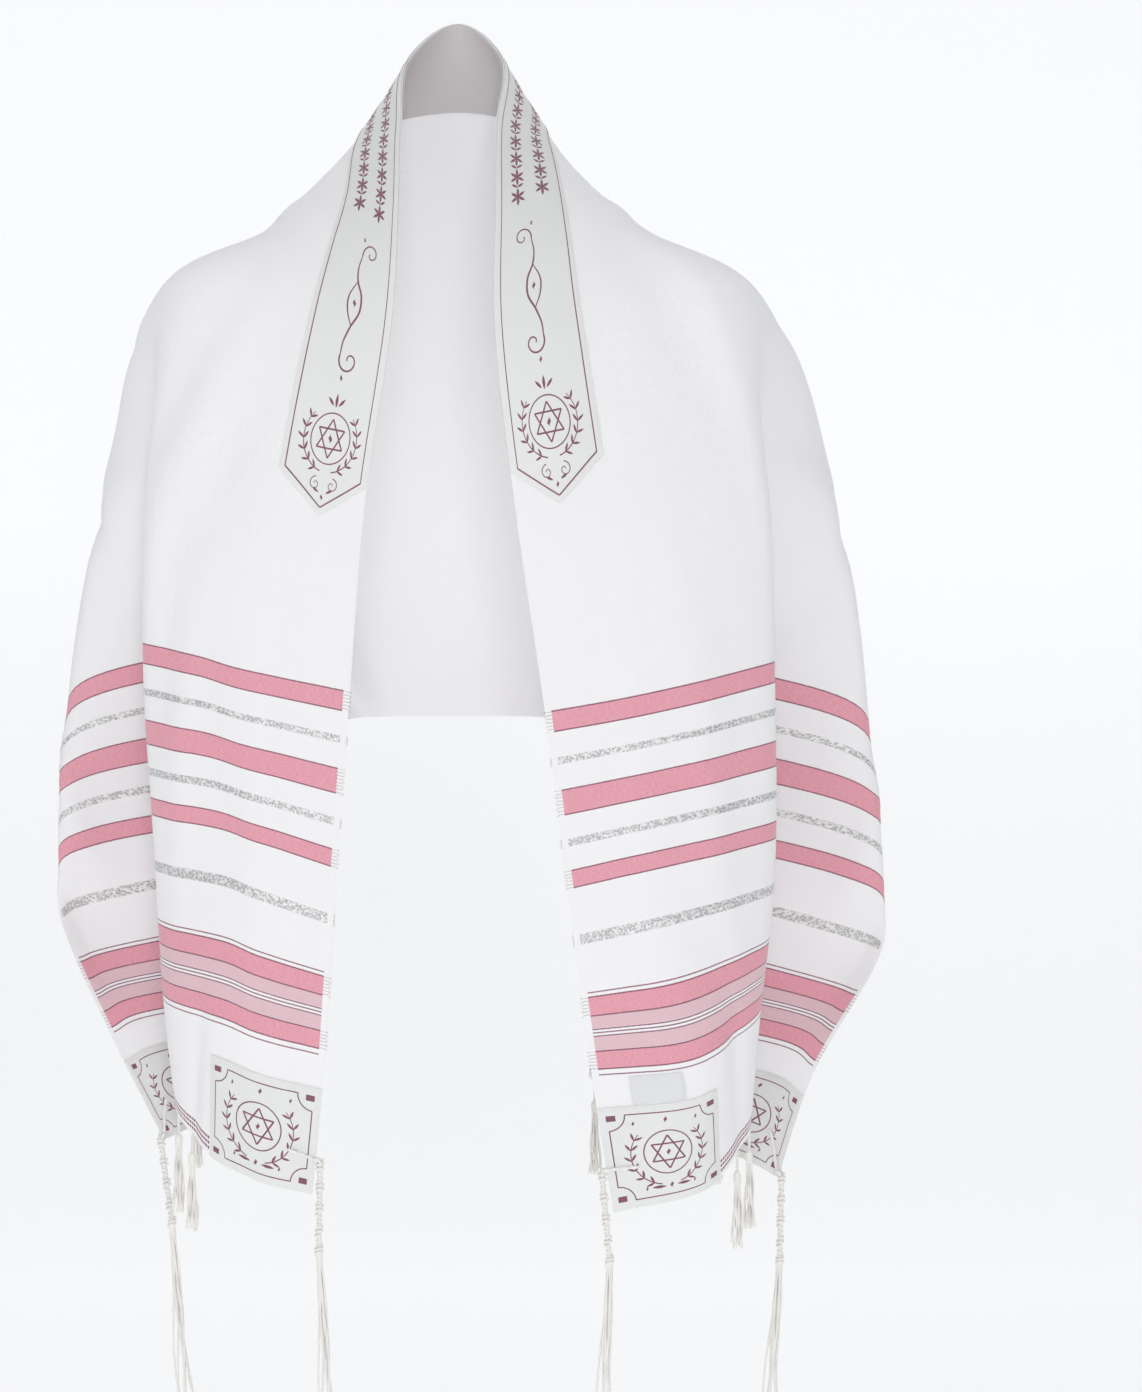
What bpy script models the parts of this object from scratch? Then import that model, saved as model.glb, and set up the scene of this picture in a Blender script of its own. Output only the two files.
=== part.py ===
"""A prayer shawl worn round the neck and over the shoulders, with no wearer inside.

Units are metres, +Z is up and the front faces -Y. The origin is the base of the
wearer's neck. The cloth is one sheet: s runs along its length from the centre of
the back (negative on the viewer's left), v runs across it from the neck edge.
"""

import math
from collections import namedtuple

import bpy
from mathutils import Vector

# Driving sizes of the cut pieces
SHAWL_LENGTH = 1.83
SHAWL_WIDTH = 0.61
CLOTH_WALL = 0.0012
TRIM_WALL = 0.0010
SEAM_GAP = 0.0003
BAND_WIDTH = 0.07
BAND_SHOULDER_LEFT = 0.4125
BAND_SHOULDER_RIGHT = 0.3965
BAND_POINT = 0.025
PATCH_LENGTH = 0.075
PATCH_WIDTH = 0.085
FACING_CELLS = 5
LABEL_HEIGHT = 0.0200
LABEL_CLEARANCE = 0.0015
LABEL_COLUMNS = (2, 5)

# Number of cells along half the length and across the width
NECK_CELLS = 17
BAND_CELLS = 6
POINT_CELLS = 3
CHEST_CELLS = 12
PATCH_CELLS = 4
MIDDLE_CELLS = 15
OUTER_CELLS = 3

HALF = SHAWL_LENGTH / 2
PATCH_START = HALF - PATCH_LENGTH
LABEL_END = PATCH_START - LABEL_CLEARANCE
LABEL_START = LABEL_END - LABEL_HEIGHT

# Stations along the half length: nape, neck, neck side, collar bone, shoulder tip,
# chest, first stripe, elbow, last stripes, short end
STATIONS = (0.0, 0.07, 0.14, 0.21, 0.30, 0.42, 0.556, 0.72, 0.82, HALF)

# Guide lines, one row for each station. v is the place across the cloth, left and
# right are the distances out from the centre plane, y and z are the place, and drop
# is how far the right half hangs below the left one there.
Guide = namedtuple("Guide", "v left right y z drop")
GUIDES = {
    "edge": (
        (0.0, 0.0, 0.0, 0.045, 0.0925, 0.0),
        (0.0, 0.037, 0.033, 0.018, 0.061, 0.0),
        (0.0, 0.042, 0.028, -0.035, 0.003, 0.0),
        (0.0, 0.043, 0.027, -0.085, -0.060, 0.0),
        (0.0, 0.047, 0.026, -0.122, -0.143, 0.003),
        (0.0, 0.066, 0.041, -0.140, -0.276, 0.008),
        (0.0, 0.077, 0.062, -0.142, -0.412, 0.0158),
        (0.0, 0.089, 0.083, -0.140, -0.576, 0.0160),
        (0.0, 0.095, 0.096, -0.139, -0.676, 0.0155),
        (0.0, 0.104, 0.111, -0.138, -0.771, 0.0145),
    ),
    "chest": (
        (0.07, 0.0, 0.0, 0.062, 0.028, 0.0),
        (0.07, 0.061, 0.059, 0.055, 0.017, 0.0),
        (0.07, 0.078, 0.070, 0.012, -0.006, 0.0),
        (0.07, 0.084, 0.078, -0.045, -0.050, 0.0),
        (0.07, 0.104, 0.088, -0.102, -0.128, 0.003),
        (0.07, 0.129, 0.108, -0.138, -0.262, 0.009),
        (0.07, 0.145, 0.130, -0.142, -0.398, 0.0175),
        (0.07, 0.152, 0.148, -0.140, -0.5555, 0.0225),
        (0.07, 0.164, 0.171, -0.138, -0.659, 0.0245),
        (0.07, 0.168, 0.178, -0.134, -0.755, 0.0140),
    ),
    "fold": (
        (0.150, 0.0, 0.0, 0.100, -0.043, 0.0),
        (0.150, 0.076, 0.076, 0.085, -0.046, 0.0),
        (0.150, 0.129, 0.120, 0.035, -0.058, 0.0),
        (0.150, 0.149, 0.147, -0.015, -0.075, 0.0),
        (0.150, 0.192, 0.190, -0.065, -0.106, 0.003),
        (0.155, 0.2235, 0.2215, -0.088, -0.236, 0.010),
        (0.150, 0.2245, 0.2240, -0.104, -0.381, 0.0130),
        (0.137, 0.2105, 0.2170, -0.108, -0.545, 0.0170),
        (0.134, 0.2055, 0.2120, -0.108, -0.647, 0.0115),
        (0.130, 0.1980, 0.2070, -0.108, -0.728, 0.0110),
    ),
    "turn": (
        (0.25, 0.0, 0.0, 0.140, -0.130, 0.0),
        (0.25, 0.087, 0.087, 0.132, -0.133, 0.0),
        (0.25, 0.166, 0.160, 0.080, -0.122, 0.0),
        (0.25, 0.208, 0.209, 0.030, -0.128, 0.0),
        (0.24, 0.235, 0.239, -0.012, -0.138, 0.002),
        (0.22, 0.202, 0.202, -0.050, -0.240, 0.006),
        (0.29, 0.158, 0.160, -0.018, -0.385, 0.0130),
        (0.38, 0.124, 0.130, 0.036, -0.540, 0.0200),
        (0.42, 0.124, 0.120, 0.056, -0.622, 0.0220),
        (0.45, 0.128, 0.110, 0.070, -0.694, 0.0220),
    ),
    "arm": (
        (0.36, 0.0, 0.0, 0.158, -0.225, 0.0),
        (0.36, 0.083, 0.083, 0.154, -0.232, 0.0),
        (0.36, 0.165, 0.170, 0.130, -0.215, 0.0),
        (0.36, 0.230, 0.238, 0.088, -0.215, 0.0),
        (0.34, 0.259, 0.276, 0.040, -0.214, 0.002),
        (0.29, 0.221, 0.222, -0.026, -0.243, 0.004),
        (0.41, 0.206, 0.208, 0.002, -0.385, 0.0115),
        (0.485, 0.190, 0.198, 0.034, -0.552, 0.0180),
        (0.520, 0.184, 0.190, 0.036, -0.653, 0.0195),
        (0.548, 0.178, 0.184, 0.032, -0.730, 0.0220),
    ),
    "side": (
        (0.45, 0.0, 0.0, 0.161, -0.305, 0.0),
        (0.45, 0.073, 0.073, 0.158, -0.312, 0.0),
        (0.45, 0.147, 0.152, 0.148, -0.300, 0.0),
        (0.45, 0.216, 0.227, 0.124, -0.300, 0.0),
        (0.44, 0.266, 0.280, 0.078, -0.300, 0.002),
        (0.36, 0.2600, 0.2790, 0.005, -0.250, 0.004),
        (0.485, 0.2880, 0.3030, 0.006, -0.412, 0.0155),
        (0.580, 0.2900, 0.3080, 0.008, -0.575, 0.0255),
        (0.585, 0.2450, 0.2540, -0.004, -0.665, 0.0230),
        (0.590, 0.2080, 0.2260, -0.006, -0.743, 0.0260),
    ),
    "rear": (
        (0.53, 0.0, 0.0, 0.160, -0.368, 0.0),
        (0.53, 0.058, 0.058, 0.158, -0.372, 0.0),
        (0.53, 0.118, 0.122, 0.152, -0.370, 0.0),
        (0.53, 0.176, 0.184, 0.140, -0.375, 0.0),
        (0.53, 0.228, 0.238, 0.108, -0.382, 0.002),
        (0.49, 0.2560, 0.2620, 0.072, -0.372, 0.004),
        (0.555, 0.2840, 0.2980, 0.048, -0.470, 0.0150),
        (0.599, 0.2945, 0.3140, 0.003, -0.579, 0.0245),
        (0.600, 0.2525, 0.2605, -0.009, -0.670, 0.0245),
        (0.602, 0.2150, 0.2340, -0.010, -0.746, 0.0275),
    ),
    "hem": (
        (0.61, 0.0, 0.0, 0.158, -0.433, 0.0),
        (0.61, 0.042, 0.042, 0.157, -0.433, 0.0),
        (0.61, 0.083, 0.085, 0.153, -0.435, 0.0),
        (0.61, 0.125, 0.129, 0.146, -0.443, 0.0),
        (0.61, 0.169, 0.175, 0.132, -0.457, 0.002),
        (0.61, 0.222, 0.232, 0.106, -0.483, 0.004),
        (0.61, 0.270, 0.282, 0.062, -0.524, 0.0140),
        (0.61, 0.2975, 0.3170, 0.000, -0.582, 0.0240),
        (0.61, 0.2570, 0.2650, -0.012, -0.672, 0.0255),
        (0.61, 0.2190, 0.2380, -0.014, -0.747, 0.0280),
    ),
}

# Soft upright folds, one row each. side is -1 on the viewer's left and 1 on the
# right, v_top and v_end place the fold where it starts and at the short end,
# half_width is across the cloth, back is how far the cloth steps back past the
# fold and drop how far it falls there, start is where the fold starts along s. A
# fold is whole at the share FOLD_WHOLE of its length and fades out across v.
Fold = namedtuple("Fold", "side v_top v_end half_width back drop start")
FRONT_FOLDS = (
    Fold(-1, 0.112, 0.045, 0.011, 0.0060, 0.0040, 0.44),
    Fold(1, 0.120, 0.095, 0.022, 0.0030, 0.0015, 0.46),
)
FOLD_WHOLE = 0.3
FOLD_FADE_START = 0.14
FOLD_FADE_END = 0.24

# Flutes that hang down the back, between the flat middle and the upper arm
FLUTE_COUNT = 3
FLUTE_START = 0.08
FLUTE_END = 0.45
FLUTE_DEPTH = 0.014
FLUTE_V_START = 0.24
FLUTE_V_WHOLE = 0.52
FLUTE_FADE_IN = 0.12
FLUTE_FADE_OUT = 0.40
BODY_CENTRE_Y = -0.05

# Corner threads: knotted stems with eight strands each, one row for each corner.
# v_hole is how far the eyelet lies from the long edge, up_hole and up_edge are the
# heights above the short end of the eyelet and of the place where the thread
# passes over the long edge. lean moves the stem's foot and sway the strands' tips
# to the right.
CornerThread = namedtuple("CornerThread", "side place v_hole up_hole up_edge lean sway")
CORNER_THREADS = (
    CornerThread(-1, "front", 0.020, 0.028, 0.025, -0.001, 0.0085),
    CornerThread(-1, "outer", 0.022, 0.030, 0.004, 0.0085, 0.0110),
    CornerThread(1, "front", 0.021, 0.030, 0.031, 0.0055, -0.0050),
    CornerThread(1, "outer", 0.022, 0.032, 0.004, -0.0015, -0.0090),
)
STEM_LENGTH = 0.062
STEM_RADIUS = 0.0021
KNOT_RADIUS = 0.0034
THIN_STEM_RADIUS = 0.00147
STEM_CLEAR = 0.0033
BEND_DROP = 0.005

# Each knot's outline down the stem, as shares of the knot's pitch and radii
KNOT_COUNT = 4
KNOT_LEVELS = ((0.2, STEM_RADIUS), (0.5, KNOT_RADIUS), (0.8, STEM_RADIUS))
FOOT_HALF_WIDTH = 0.0041
FOOT_HALF_DEPTH = 0.0031

# Loose strands: how they widen towards the tips and how uneven their lengths are
CORNER_STRANDS = (4, 2)
CORNER_STRAND_LENGTH = 0.125
CORNER_SPLAY = 1.6
STRAND_WIDTH = 0.0012
STRAND_TOP_SHARE = 0.7
STRAND_UNEVEN = 0.10
STRAND_PHASE = 900.0

# Hem tassels on the short ends, at these lines across the cloth between the patches
TASSEL_LINES = (8, 9, 12, 15, 19)
TASSEL_SEAT = 0.0010
TASSEL_NECK_LENGTH = 0.012
TASSEL_NECK_RADIUS = 0.0011
TASSEL_HEAD_RADIUS = 0.0032
TASSEL_HEAD_LENGTH = 0.009
TASSEL_STRANDS = (3, 2)
TASSEL_STRAND_LENGTH = 0.044
TASSEL_SPLAY = 0.8

# Each tassel's outline from its seat down, as drops and radii
TASSEL_LEVELS = (
    (0.0, TASSEL_NECK_RADIUS),
    (TASSEL_NECK_LENGTH, TASSEL_NECK_RADIUS),
    (TASSEL_NECK_LENGTH + TASSEL_HEAD_LENGTH * 0.35, TASSEL_HEAD_RADIUS),
    (TASSEL_NECK_LENGTH + TASSEL_HEAD_LENGTH, TASSEL_HEAD_RADIUS * 0.85),
)

COLOURS = {
    "white_cloth": ((0.93, 0.93, 0.94), 0.75),
    "band_satin": ((0.84, 0.86, 0.84), 0.50),
    "facing_satin": ((0.60, 0.57, 0.59), 0.60),
    "label_satin": ((0.90, 0.90, 0.88), 0.50),
    "thread": ((0.91, 0.89, 0.85), 0.80),
}


def clear_scene():
    for item in list(bpy.data.objects):
        bpy.data.objects.remove(item, do_unlink=True)


def make_material(name):
    colour, roughness = COLOURS[name]
    material = bpy.data.materials.new(name)
    material.use_nodes = True
    shader = material.node_tree.nodes["Principled BSDF"]
    shader.inputs["Base Color"].default_value = (*colour, 1.0)
    shader.inputs["Roughness"].default_value = roughness
    shader.inputs["Metallic"].default_value = 0.0
    return material


def smooth_step(value, low, high):
    share = min(1.0, max(0.0, (value - low) / (high - low)))
    return share * share * (3.0 - 2.0 * share)


def spline(knots, values, at):
    """A smooth curve through values at the knots, read at one place."""
    last = len(knots) - 1
    span = 0
    while span < last - 1 and at > knots[span + 1]:
        span += 1

    def secant(index):
        return (values[index + 1] - values[index]) / (knots[index + 1] - knots[index])

    def slope(index):
        if index == 0:
            return secant(0)
        if index == last:
            return secant(last - 1)
        before = knots[index] - knots[index - 1]
        after = knots[index + 1] - knots[index]
        return (after * secant(index - 1) + before * secant(index)) / (before + after)

    width = knots[span + 1] - knots[span]
    share = (at - knots[span]) / width
    square = share * share
    cube = square * share
    return (
        values[span] * (2 * cube - 3 * square + 1)
        + slope(span) * width * (cube - 2 * square + share)
        + values[span + 1] * (3 * square - 2 * cube)
        + slope(span + 1) * width * (cube - square)
    )


def signed_guides():
    """Each guide as knots along s and the values v, x, y, z there."""
    rows = {}
    for name, table in GUIDES.items():
        guides = [Guide(*row) for row in table]
        left = [(-s, g.v, -g.left, g.y, g.z) for s, g in zip(STATIONS, guides)]
        right = [(s, g.v, g.right, g.y, g.z - g.drop) for s, g in zip(STATIONS, guides)]
        whole = left[:0:-1] + right
        rows[name] = (
            [item[0] for item in whole],
            [[item[column] for item in whole] for column in range(1, 5)],
        )
    return rows


SIGNED_GUIDES = signed_guides()


def section(s):
    """The knots v and the places x, y, z of all guides at one s."""
    columns = [[], [], [], []]
    for knots, values in SIGNED_GUIDES.values():
        for column, held in zip(columns, values):
            column.append(spline(knots, held, s))
    return columns


def add_front_folds(point, s, v):
    for fold in FRONT_FOLDS:
        if s * fold.side < fold.start:
            continue
        along = (abs(s) - fold.start) / (HALF - fold.start)
        centre = fold.v_top + (fold.v_end - fold.v_top) * along
        fade = 1.0 - smooth_step(v, FOLD_FADE_START, FOLD_FADE_END)
        strength = smooth_step(along, 0.0, FOLD_WHOLE) * fade
        step = 0.5 * math.tanh((centre - v) / fold.half_width)
        point.y -= fold.back * strength * step
        point.z -= fold.drop * strength * step


def add_flutes(point, s, v):
    reach = abs(s)
    if reach <= FLUTE_START or reach >= FLUTE_END:
        return
    share = (reach - FLUTE_START) / (FLUTE_END - FLUTE_START)
    fade = smooth_step(share, 0.0, FLUTE_FADE_IN)
    fade *= 1.0 - smooth_step(share, FLUTE_FADE_OUT, 1.0)
    depth = FLUTE_DEPTH * fade * smooth_step(v, FLUTE_V_START, FLUTE_V_WHOLE)
    wave = math.sin(2 * math.pi * FLUTE_COUNT * share)
    outward = Vector((point.x, point.y - BODY_CENTRE_Y, 0.0)).normalized()
    point += outward * depth * wave


def cloth_point(s, v, held=None):
    """The middle of the cloth wall at s along and v across."""
    knots, *values = held or section(s)
    point = Vector(spline(knots, column, v) for column in values)
    add_front_folds(point, s, v)
    add_flutes(point, s, v)
    return point


def even(start, end, count):
    return [start + (end - start) * index / count for index in range(1, count + 1)]


def half_lines(shoulder):
    lines = even(0.0, shoulder, NECK_CELLS)
    lines += even(shoulder, shoulder + BAND_POINT, POINT_CELLS)
    lines += even(shoulder + BAND_POINT, LABEL_START, CHEST_CELLS)
    lines += [LABEL_END, PATCH_START]
    lines += even(PATCH_START, HALF, PATCH_CELLS)
    return lines


def lines_along():
    left = half_lines(BAND_SHOULDER_LEFT)
    return [-s for s in reversed(left)] + [0.0] + half_lines(BAND_SHOULDER_RIGHT)


def lines_across():
    lines = [0.0]
    lines += even(0.0, BAND_WIDTH, BAND_CELLS)
    lines += [PATCH_WIDTH]
    lines += even(PATCH_WIDTH, SHAWL_WIDTH - PATCH_WIDTH, MIDDLE_CELLS)
    lines += even(SHAWL_WIDTH - PATCH_WIDTH, SHAWL_WIDTH, OUTER_CELLS)
    return lines


ALONG = lines_along()
ACROSS = lines_across()
CENTRE = len(ALONG) // 2


def cloth_grid():
    """Points and outward directions of the cloth at the crossings of its lines."""
    points = []
    for s in ALONG:
        held = section(s)
        points.append([cloth_point(s, v, held) for v in ACROSS])
    last_s = len(ALONG) - 1
    last_v = len(ACROSS) - 1
    outward = []
    for i in range(last_s + 1):
        row = []
        for j in range(last_v + 1):
            along = points[min(i + 1, last_s)][j] - points[max(i - 1, 0)][j]
            across = points[i][min(j + 1, last_v)] - points[i][max(j - 1, 0)]
            row.append(along.cross(across).normalized())
        outward.append(row)
    return points, outward


POINTS, OUTWARD = cloth_grid()


def cell_faces(i, j):
    """The two triangles of a cell; their shared edge turns at the band's middle."""
    right_half = i >= CENTRE
    low = j < BAND_CELLS // 2
    a, b, c, d = (i, j), (i + 1, j), (i + 1, j + 1), (i, j + 1)
    if right_half == low:
        return (a, b, c), (a, c, d)
    return (a, b, d), (b, c, d)


def wall_object(name, faces, inner, outer, material):
    """A closed wall over the given cloth triangles, between two offsets from it."""
    crossings = sorted({corner for face in faces for corner in face})
    number = {corner: index for index, corner in enumerate(crossings)}
    count = len(crossings)
    verts = [POINTS[i][j] + OUTWARD[i][j] * outer for i, j in crossings]
    verts += [POINTS[i][j] + OUTWARD[i][j] * inner for i, j in crossings]
    skin = [[number[corner] for corner in face] for face in faces]
    solid = [list(face) for face in skin]
    solid += [[index + count for index in reversed(face)] for face in skin]
    directed = {(face[k], face[(k + 1) % 3]) for face in skin for k in range(3)}
    for start, end in sorted(directed):
        if (end, start) not in directed:
            solid.append([end, start, start + count, end + count])
    return mesh_object(name, verts, solid, material)


def mesh_object(name, verts, faces, material):
    mesh = bpy.data.meshes.new(name)
    mesh.from_pydata([tuple(point) for point in verts], [], faces)
    mesh.update()
    mesh.materials.append(material)
    mesh.shade_smooth()
    mesh.set_sharp_from_angle(angle=math.radians(40))
    item = bpy.data.objects.new(name, mesh)
    bpy.context.scene.collection.objects.link(item)
    return item


def cells(first_i, last_i, first_j, last_j):
    faces = []
    for i in range(first_i, last_i):
        for j in range(first_j, last_j):
            faces.extend(cell_faces(i, j))
    return faces


def band_faces():
    """Cells of the neckband, with its two ends cut to points along the diagonals."""
    reach = NECK_CELLS
    faces = cells(CENTRE - reach, CENTRE + reach, 0, BAND_CELLS)
    for step in range(POINT_CELLS):
        low, high = step, BAND_CELLS - 1 - step
        for i, inward in ((CENTRE + reach + step, 0), (CENTRE - reach - step - 1, 1)):
            faces += cells(i, i + 1, low + 1, high)
            faces.append(point_triangle(i, low, inward))
            faces.append(point_triangle(i, high, inward))
    return faces


def point_triangle(i, j, inward):
    """The triangle of a cell that touches the side nearer the centre and the middle."""
    near = i + 1 if inward else i
    low = j < BAND_CELLS // 2
    for face in cell_faces(i, j):
        edge_side = [corner for corner in face if corner[0] == near]
        if len(edge_side) == 2:
            middle = max(face, key=lambda corner: abs(corner[0] - near))
            if (middle[1] == j + 1) == low:
                return face
    raise ValueError("no diagonal runs to the band's middle here")


def build_cloth(materials):
    half_wall = CLOTH_WALL / 2
    faces = cells(0, len(ALONG) - 1, 0, len(ACROSS) - 1)
    wall_object("shawl", faces, -half_wall, half_wall, materials["white_cloth"])


def build_band(materials):
    seat = CLOTH_WALL / 2 + SEAM_GAP
    wall_object("neckband", band_faces(), seat, seat + TRIM_WALL, materials["band_satin"])
    facing = cells(CENTRE - FACING_CELLS, CENTRE + FACING_CELLS, 0, BAND_CELLS)
    wall_object(
        "neck_facing", facing, -seat - TRIM_WALL, -seat, materials["facing_satin"]
    )


def build_patches(materials):
    seat = CLOTH_WALL / 2 + SEAM_GAP
    last_i = len(ALONG) - 1
    last_j = len(ACROSS) - 1
    spans = {
        "patch_left_front": (0, PATCH_CELLS, 0, BAND_CELLS + 1),
        "patch_left_outer": (0, PATCH_CELLS, last_j - OUTER_CELLS, last_j),
        "patch_right_front": (last_i - PATCH_CELLS, last_i, 0, BAND_CELLS + 1),
        "patch_right_outer": (last_i - PATCH_CELLS, last_i, last_j - OUTER_CELLS, last_j),
    }
    for name, span in spans.items():
        wall_object(name, cells(*span), seat, seat + TRIM_WALL, materials["band_satin"])
    label_i = last_i - PATCH_CELLS - 2
    label = cells(label_i, label_i + 1, *LABEL_COLUMNS)
    wall_object("label_tab", label, seat, seat + TRIM_WALL, materials["label_satin"])


def ring(centre, across, depth, cells_wide, cells_deep):
    """Points round a flattened grid block, one for each point on its border."""
    points = []
    for column in range(cells_wide):
        points.append((column, 0))
    for row in range(cells_deep):
        points.append((cells_wide, row))
    for column in range(cells_wide, 0, -1):
        points.append((column, cells_deep))
    for row in range(cells_deep, 0, -1):
        points.append((0, row))
    placed = []
    for column, row in points:
        x = 2 * column / cells_wide - 1
        y = 2 * row / cells_deep - 1
        length = math.hypot(x, y)
        size = max(abs(x), abs(y)) / length
        placed.append(centre + across * x * size + depth * y * size)
    return points, placed


def strand_bundle(name, levels, grid, strand_length, splay, material, tip_shift):
    """A stem lofted through levels, whose foot is a grid with one strand a cell.

    levels hold a centre, a radius across and a radius in depth, from the top down.
    """
    wide, deep = grid
    verts = []
    faces = []
    order = []
    for centre, across, depth in levels:
        order, placed = ring(centre, across, depth, wide, deep)
        verts.extend(placed)
    count = len(order)
    for level in range(len(levels) - 1):
        for k in range(count):
            after = (k + 1) % count
            a, b = level * count + k, level * count + after
            faces.append([a, b, b + count, a + count])
    faces.append(list(range(count - 1, -1, -1)))

    foot = (len(levels) - 1) * count
    centre, across, depth = levels[-1]
    number = {place: foot + index for index, place in enumerate(order)}
    for column in range(1, wide):
        for row in range(1, deep):
            x = 2 * column / wide - 1
            y = 2 * row / deep - 1
            number[(column, row)] = len(verts)
            verts.append(centre + across * x + depth * y)

    for column in range(wide):
        for row in range(deep):
            corners = [
                number[(column, row)],
                number[(column + 1, row)],
                number[(column + 1, row + 1)],
                number[(column, row + 1)],
            ]
            add_strand(verts, faces, corners, centre, strand_length, splay, tip_shift)
    return mesh_object(name, verts, faces, material)


def add_strand(verts, faces, corners, centre, length, splay, tip_shift):
    """One four-sided strand from a shrunken copy of a foot cell down to its tip."""
    middle = sum((verts[index] for index in corners), Vector()) / 4
    away = middle - centre
    away.z = 0.0
    side = (verts[corners[1]] - verts[corners[0]]).normalized()
    back = (verts[corners[3]] - verts[corners[0]])
    back = (back - side * back.dot(side)).normalized()
    signs = ((-1, -1), (1, -1), (1, 1), (-1, 1))
    previous = corners
    uneven = 1.0 + STRAND_UNEVEN * math.sin(STRAND_PHASE * (middle.x + 2.0 * middle.y))
    for share in (0.0, 0.5, 1.0):
        drop = Vector((0, 0, -length * uneven * share))
        spread = away * (1.0 + splay * share) + tip_shift * share * share
        place = Vector((centre.x, centre.y, middle.z)) + spread + drop
        size = STRAND_WIDTH / 2 * (STRAND_TOP_SHARE + (1.0 - STRAND_TOP_SHARE) * share)
        start = len(verts)
        verts.extend(place + side * a * size + back * b * size for a, b in signs)
        current = list(range(start, start + 4))
        for k in range(4):
            after = (k + 1) % 4
            faces.append([previous[k], previous[after], current[after], current[k]])
        previous = current
    faces.append(previous)


def outside_seat(s, v, offset):
    """A place just off the outer face of the cloth, and the way out from it."""
    point = cloth_point(s, v)
    step = 0.002
    low_v = max(v - step, 0.0)
    high_v = min(v + step, SHAWL_WIDTH)
    reach = math.copysign(min(abs(s) + step, HALF), s)
    back = math.copysign(abs(s) - step, s)
    along = (cloth_point(reach, v) - cloth_point(back, v)) * math.copysign(1.0, s)
    across = cloth_point(s, high_v) - cloth_point(s, low_v)
    normal = along.cross(across).normalized()
    return point + normal * offset, normal


def build_corner_threads(materials):
    for row in CORNER_THREADS:
        side_name = "right" if row.side > 0 else "left"
        outer = row.place == "outer"
        hole_v = SHAWL_WIDTH - row.v_hole if outer else row.v_hole
        edge_v = SHAWL_WIDTH if outer else 0.0
        hole = (row.side * (HALF - row.up_hole), hole_v)
        edge = (row.side * (HALF - row.up_edge), edge_v)
        name = f"corner_thread_{side_name}_{row.place}"
        corner_thread(name, hole, edge, row.lean, row.sway, materials["thread"])


def corner_thread(name, hole, edge, lean, sway, material):
    """A thread from an eyelet over the cloth's long edge, knotted, then in strands."""
    off = CLOTH_WALL / 2 + SEAM_GAP + TRIM_WALL + SEAM_GAP + STEM_RADIUS
    thin = THIN_STEM_RADIUS
    route = []
    for share in (0.0, 0.5, 1.0):
        s = hole[0] + (edge[0] - hole[0]) * share
        v = hole[1] + (edge[1] - hole[1]) * share
        route.append(outside_seat(s, v, off))
    start = route[0][0]
    last, normal = route[-1]
    flat = Vector((normal.x, normal.y, 0.0)).normalized()
    run = (last - start).normalized()
    out = last - start
    out -= flat * out.dot(flat)
    out.z = 0.0
    out.normalize()
    levels = [
        (centre, run.cross(facing).normalized() * thin, facing * thin)
        for centre, facing in route
    ]
    up = levels[-1][1].normalized()
    side_way = out if up.z < 0 else -out
    clear = last + out * STEM_CLEAR
    levels.append((clear, (up + side_way).normalized() * thin, flat * thin))
    bend = clear + Vector((0.0, 0.0, -BEND_DROP))
    levels.append((bend, side_way * thin, flat * thin))
    pitch = STEM_LENGTH / KNOT_COUNT
    for knot in range(KNOT_COUNT):
        for share, radius in KNOT_LEVELS:
            along = (knot + share) / KNOT_COUNT
            centre = bend + Vector((lean * along, 0.0, -pitch * (knot + share)))
            levels.append((centre, side_way * radius, flat * radius))
    foot = levels[-1][0] + Vector((0.0, 0.0, -BEND_DROP))
    levels.append((foot, side_way * FOOT_HALF_WIDTH, flat * FOOT_HALF_DEPTH))
    strand_bundle(
        name, orient(levels), CORNER_STRANDS, CORNER_STRAND_LENGTH, CORNER_SPLAY,
        material, Vector((sway, 0.0, 0.0)),
    )


def orient(levels):
    """Levels whose across, depth and way down make right-handed rings."""
    fixed = []
    for index, (centre, across, depth) in enumerate(levels):
        after = levels[min(index + 1, len(levels) - 1)][0]
        before = levels[max(index - 1, 0)][0]
        travel = after - before
        if across.cross(depth).dot(travel) < 0:
            depth = -depth
        fixed.append((centre, across, depth))
    return fixed


def build_tassels(materials):
    across = Vector((1, 0, 0))
    depth = Vector((0, 1, 0))
    for row, side_name in ((POINTS[0], "left"), (POINTS[-1], "right")):
        for index, line in enumerate(TASSEL_LINES, start=1):
            top = row[line] - Vector((0, 0, TASSEL_SEAT))
            levels = [
                (top - Vector((0, 0, drop)), across * radius, depth * radius)
                for drop, radius in TASSEL_LEVELS
            ]
            strand_bundle(
                f"tassel_{side_name}_{index}", orient(levels), TASSEL_STRANDS,
                TASSEL_STRAND_LENGTH, TASSEL_SPLAY, materials["thread"], Vector(),
            )


def main():
    clear_scene()
    materials = {name: make_material(name) for name in COLOURS}
    build_cloth(materials)
    build_band(materials)
    build_patches(materials)
    build_corner_threads(materials)
    build_tassels(materials)


main()
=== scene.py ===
"""Looks of the prayer shawl: woven cloth, neckband, patches, threads and light.

Units are metres, in the frame's own coordinates. s runs along the cloth from the
centre of the back (negative on the viewer's left) and v across it from the neck.
"""

import math
from collections import namedtuple

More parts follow.
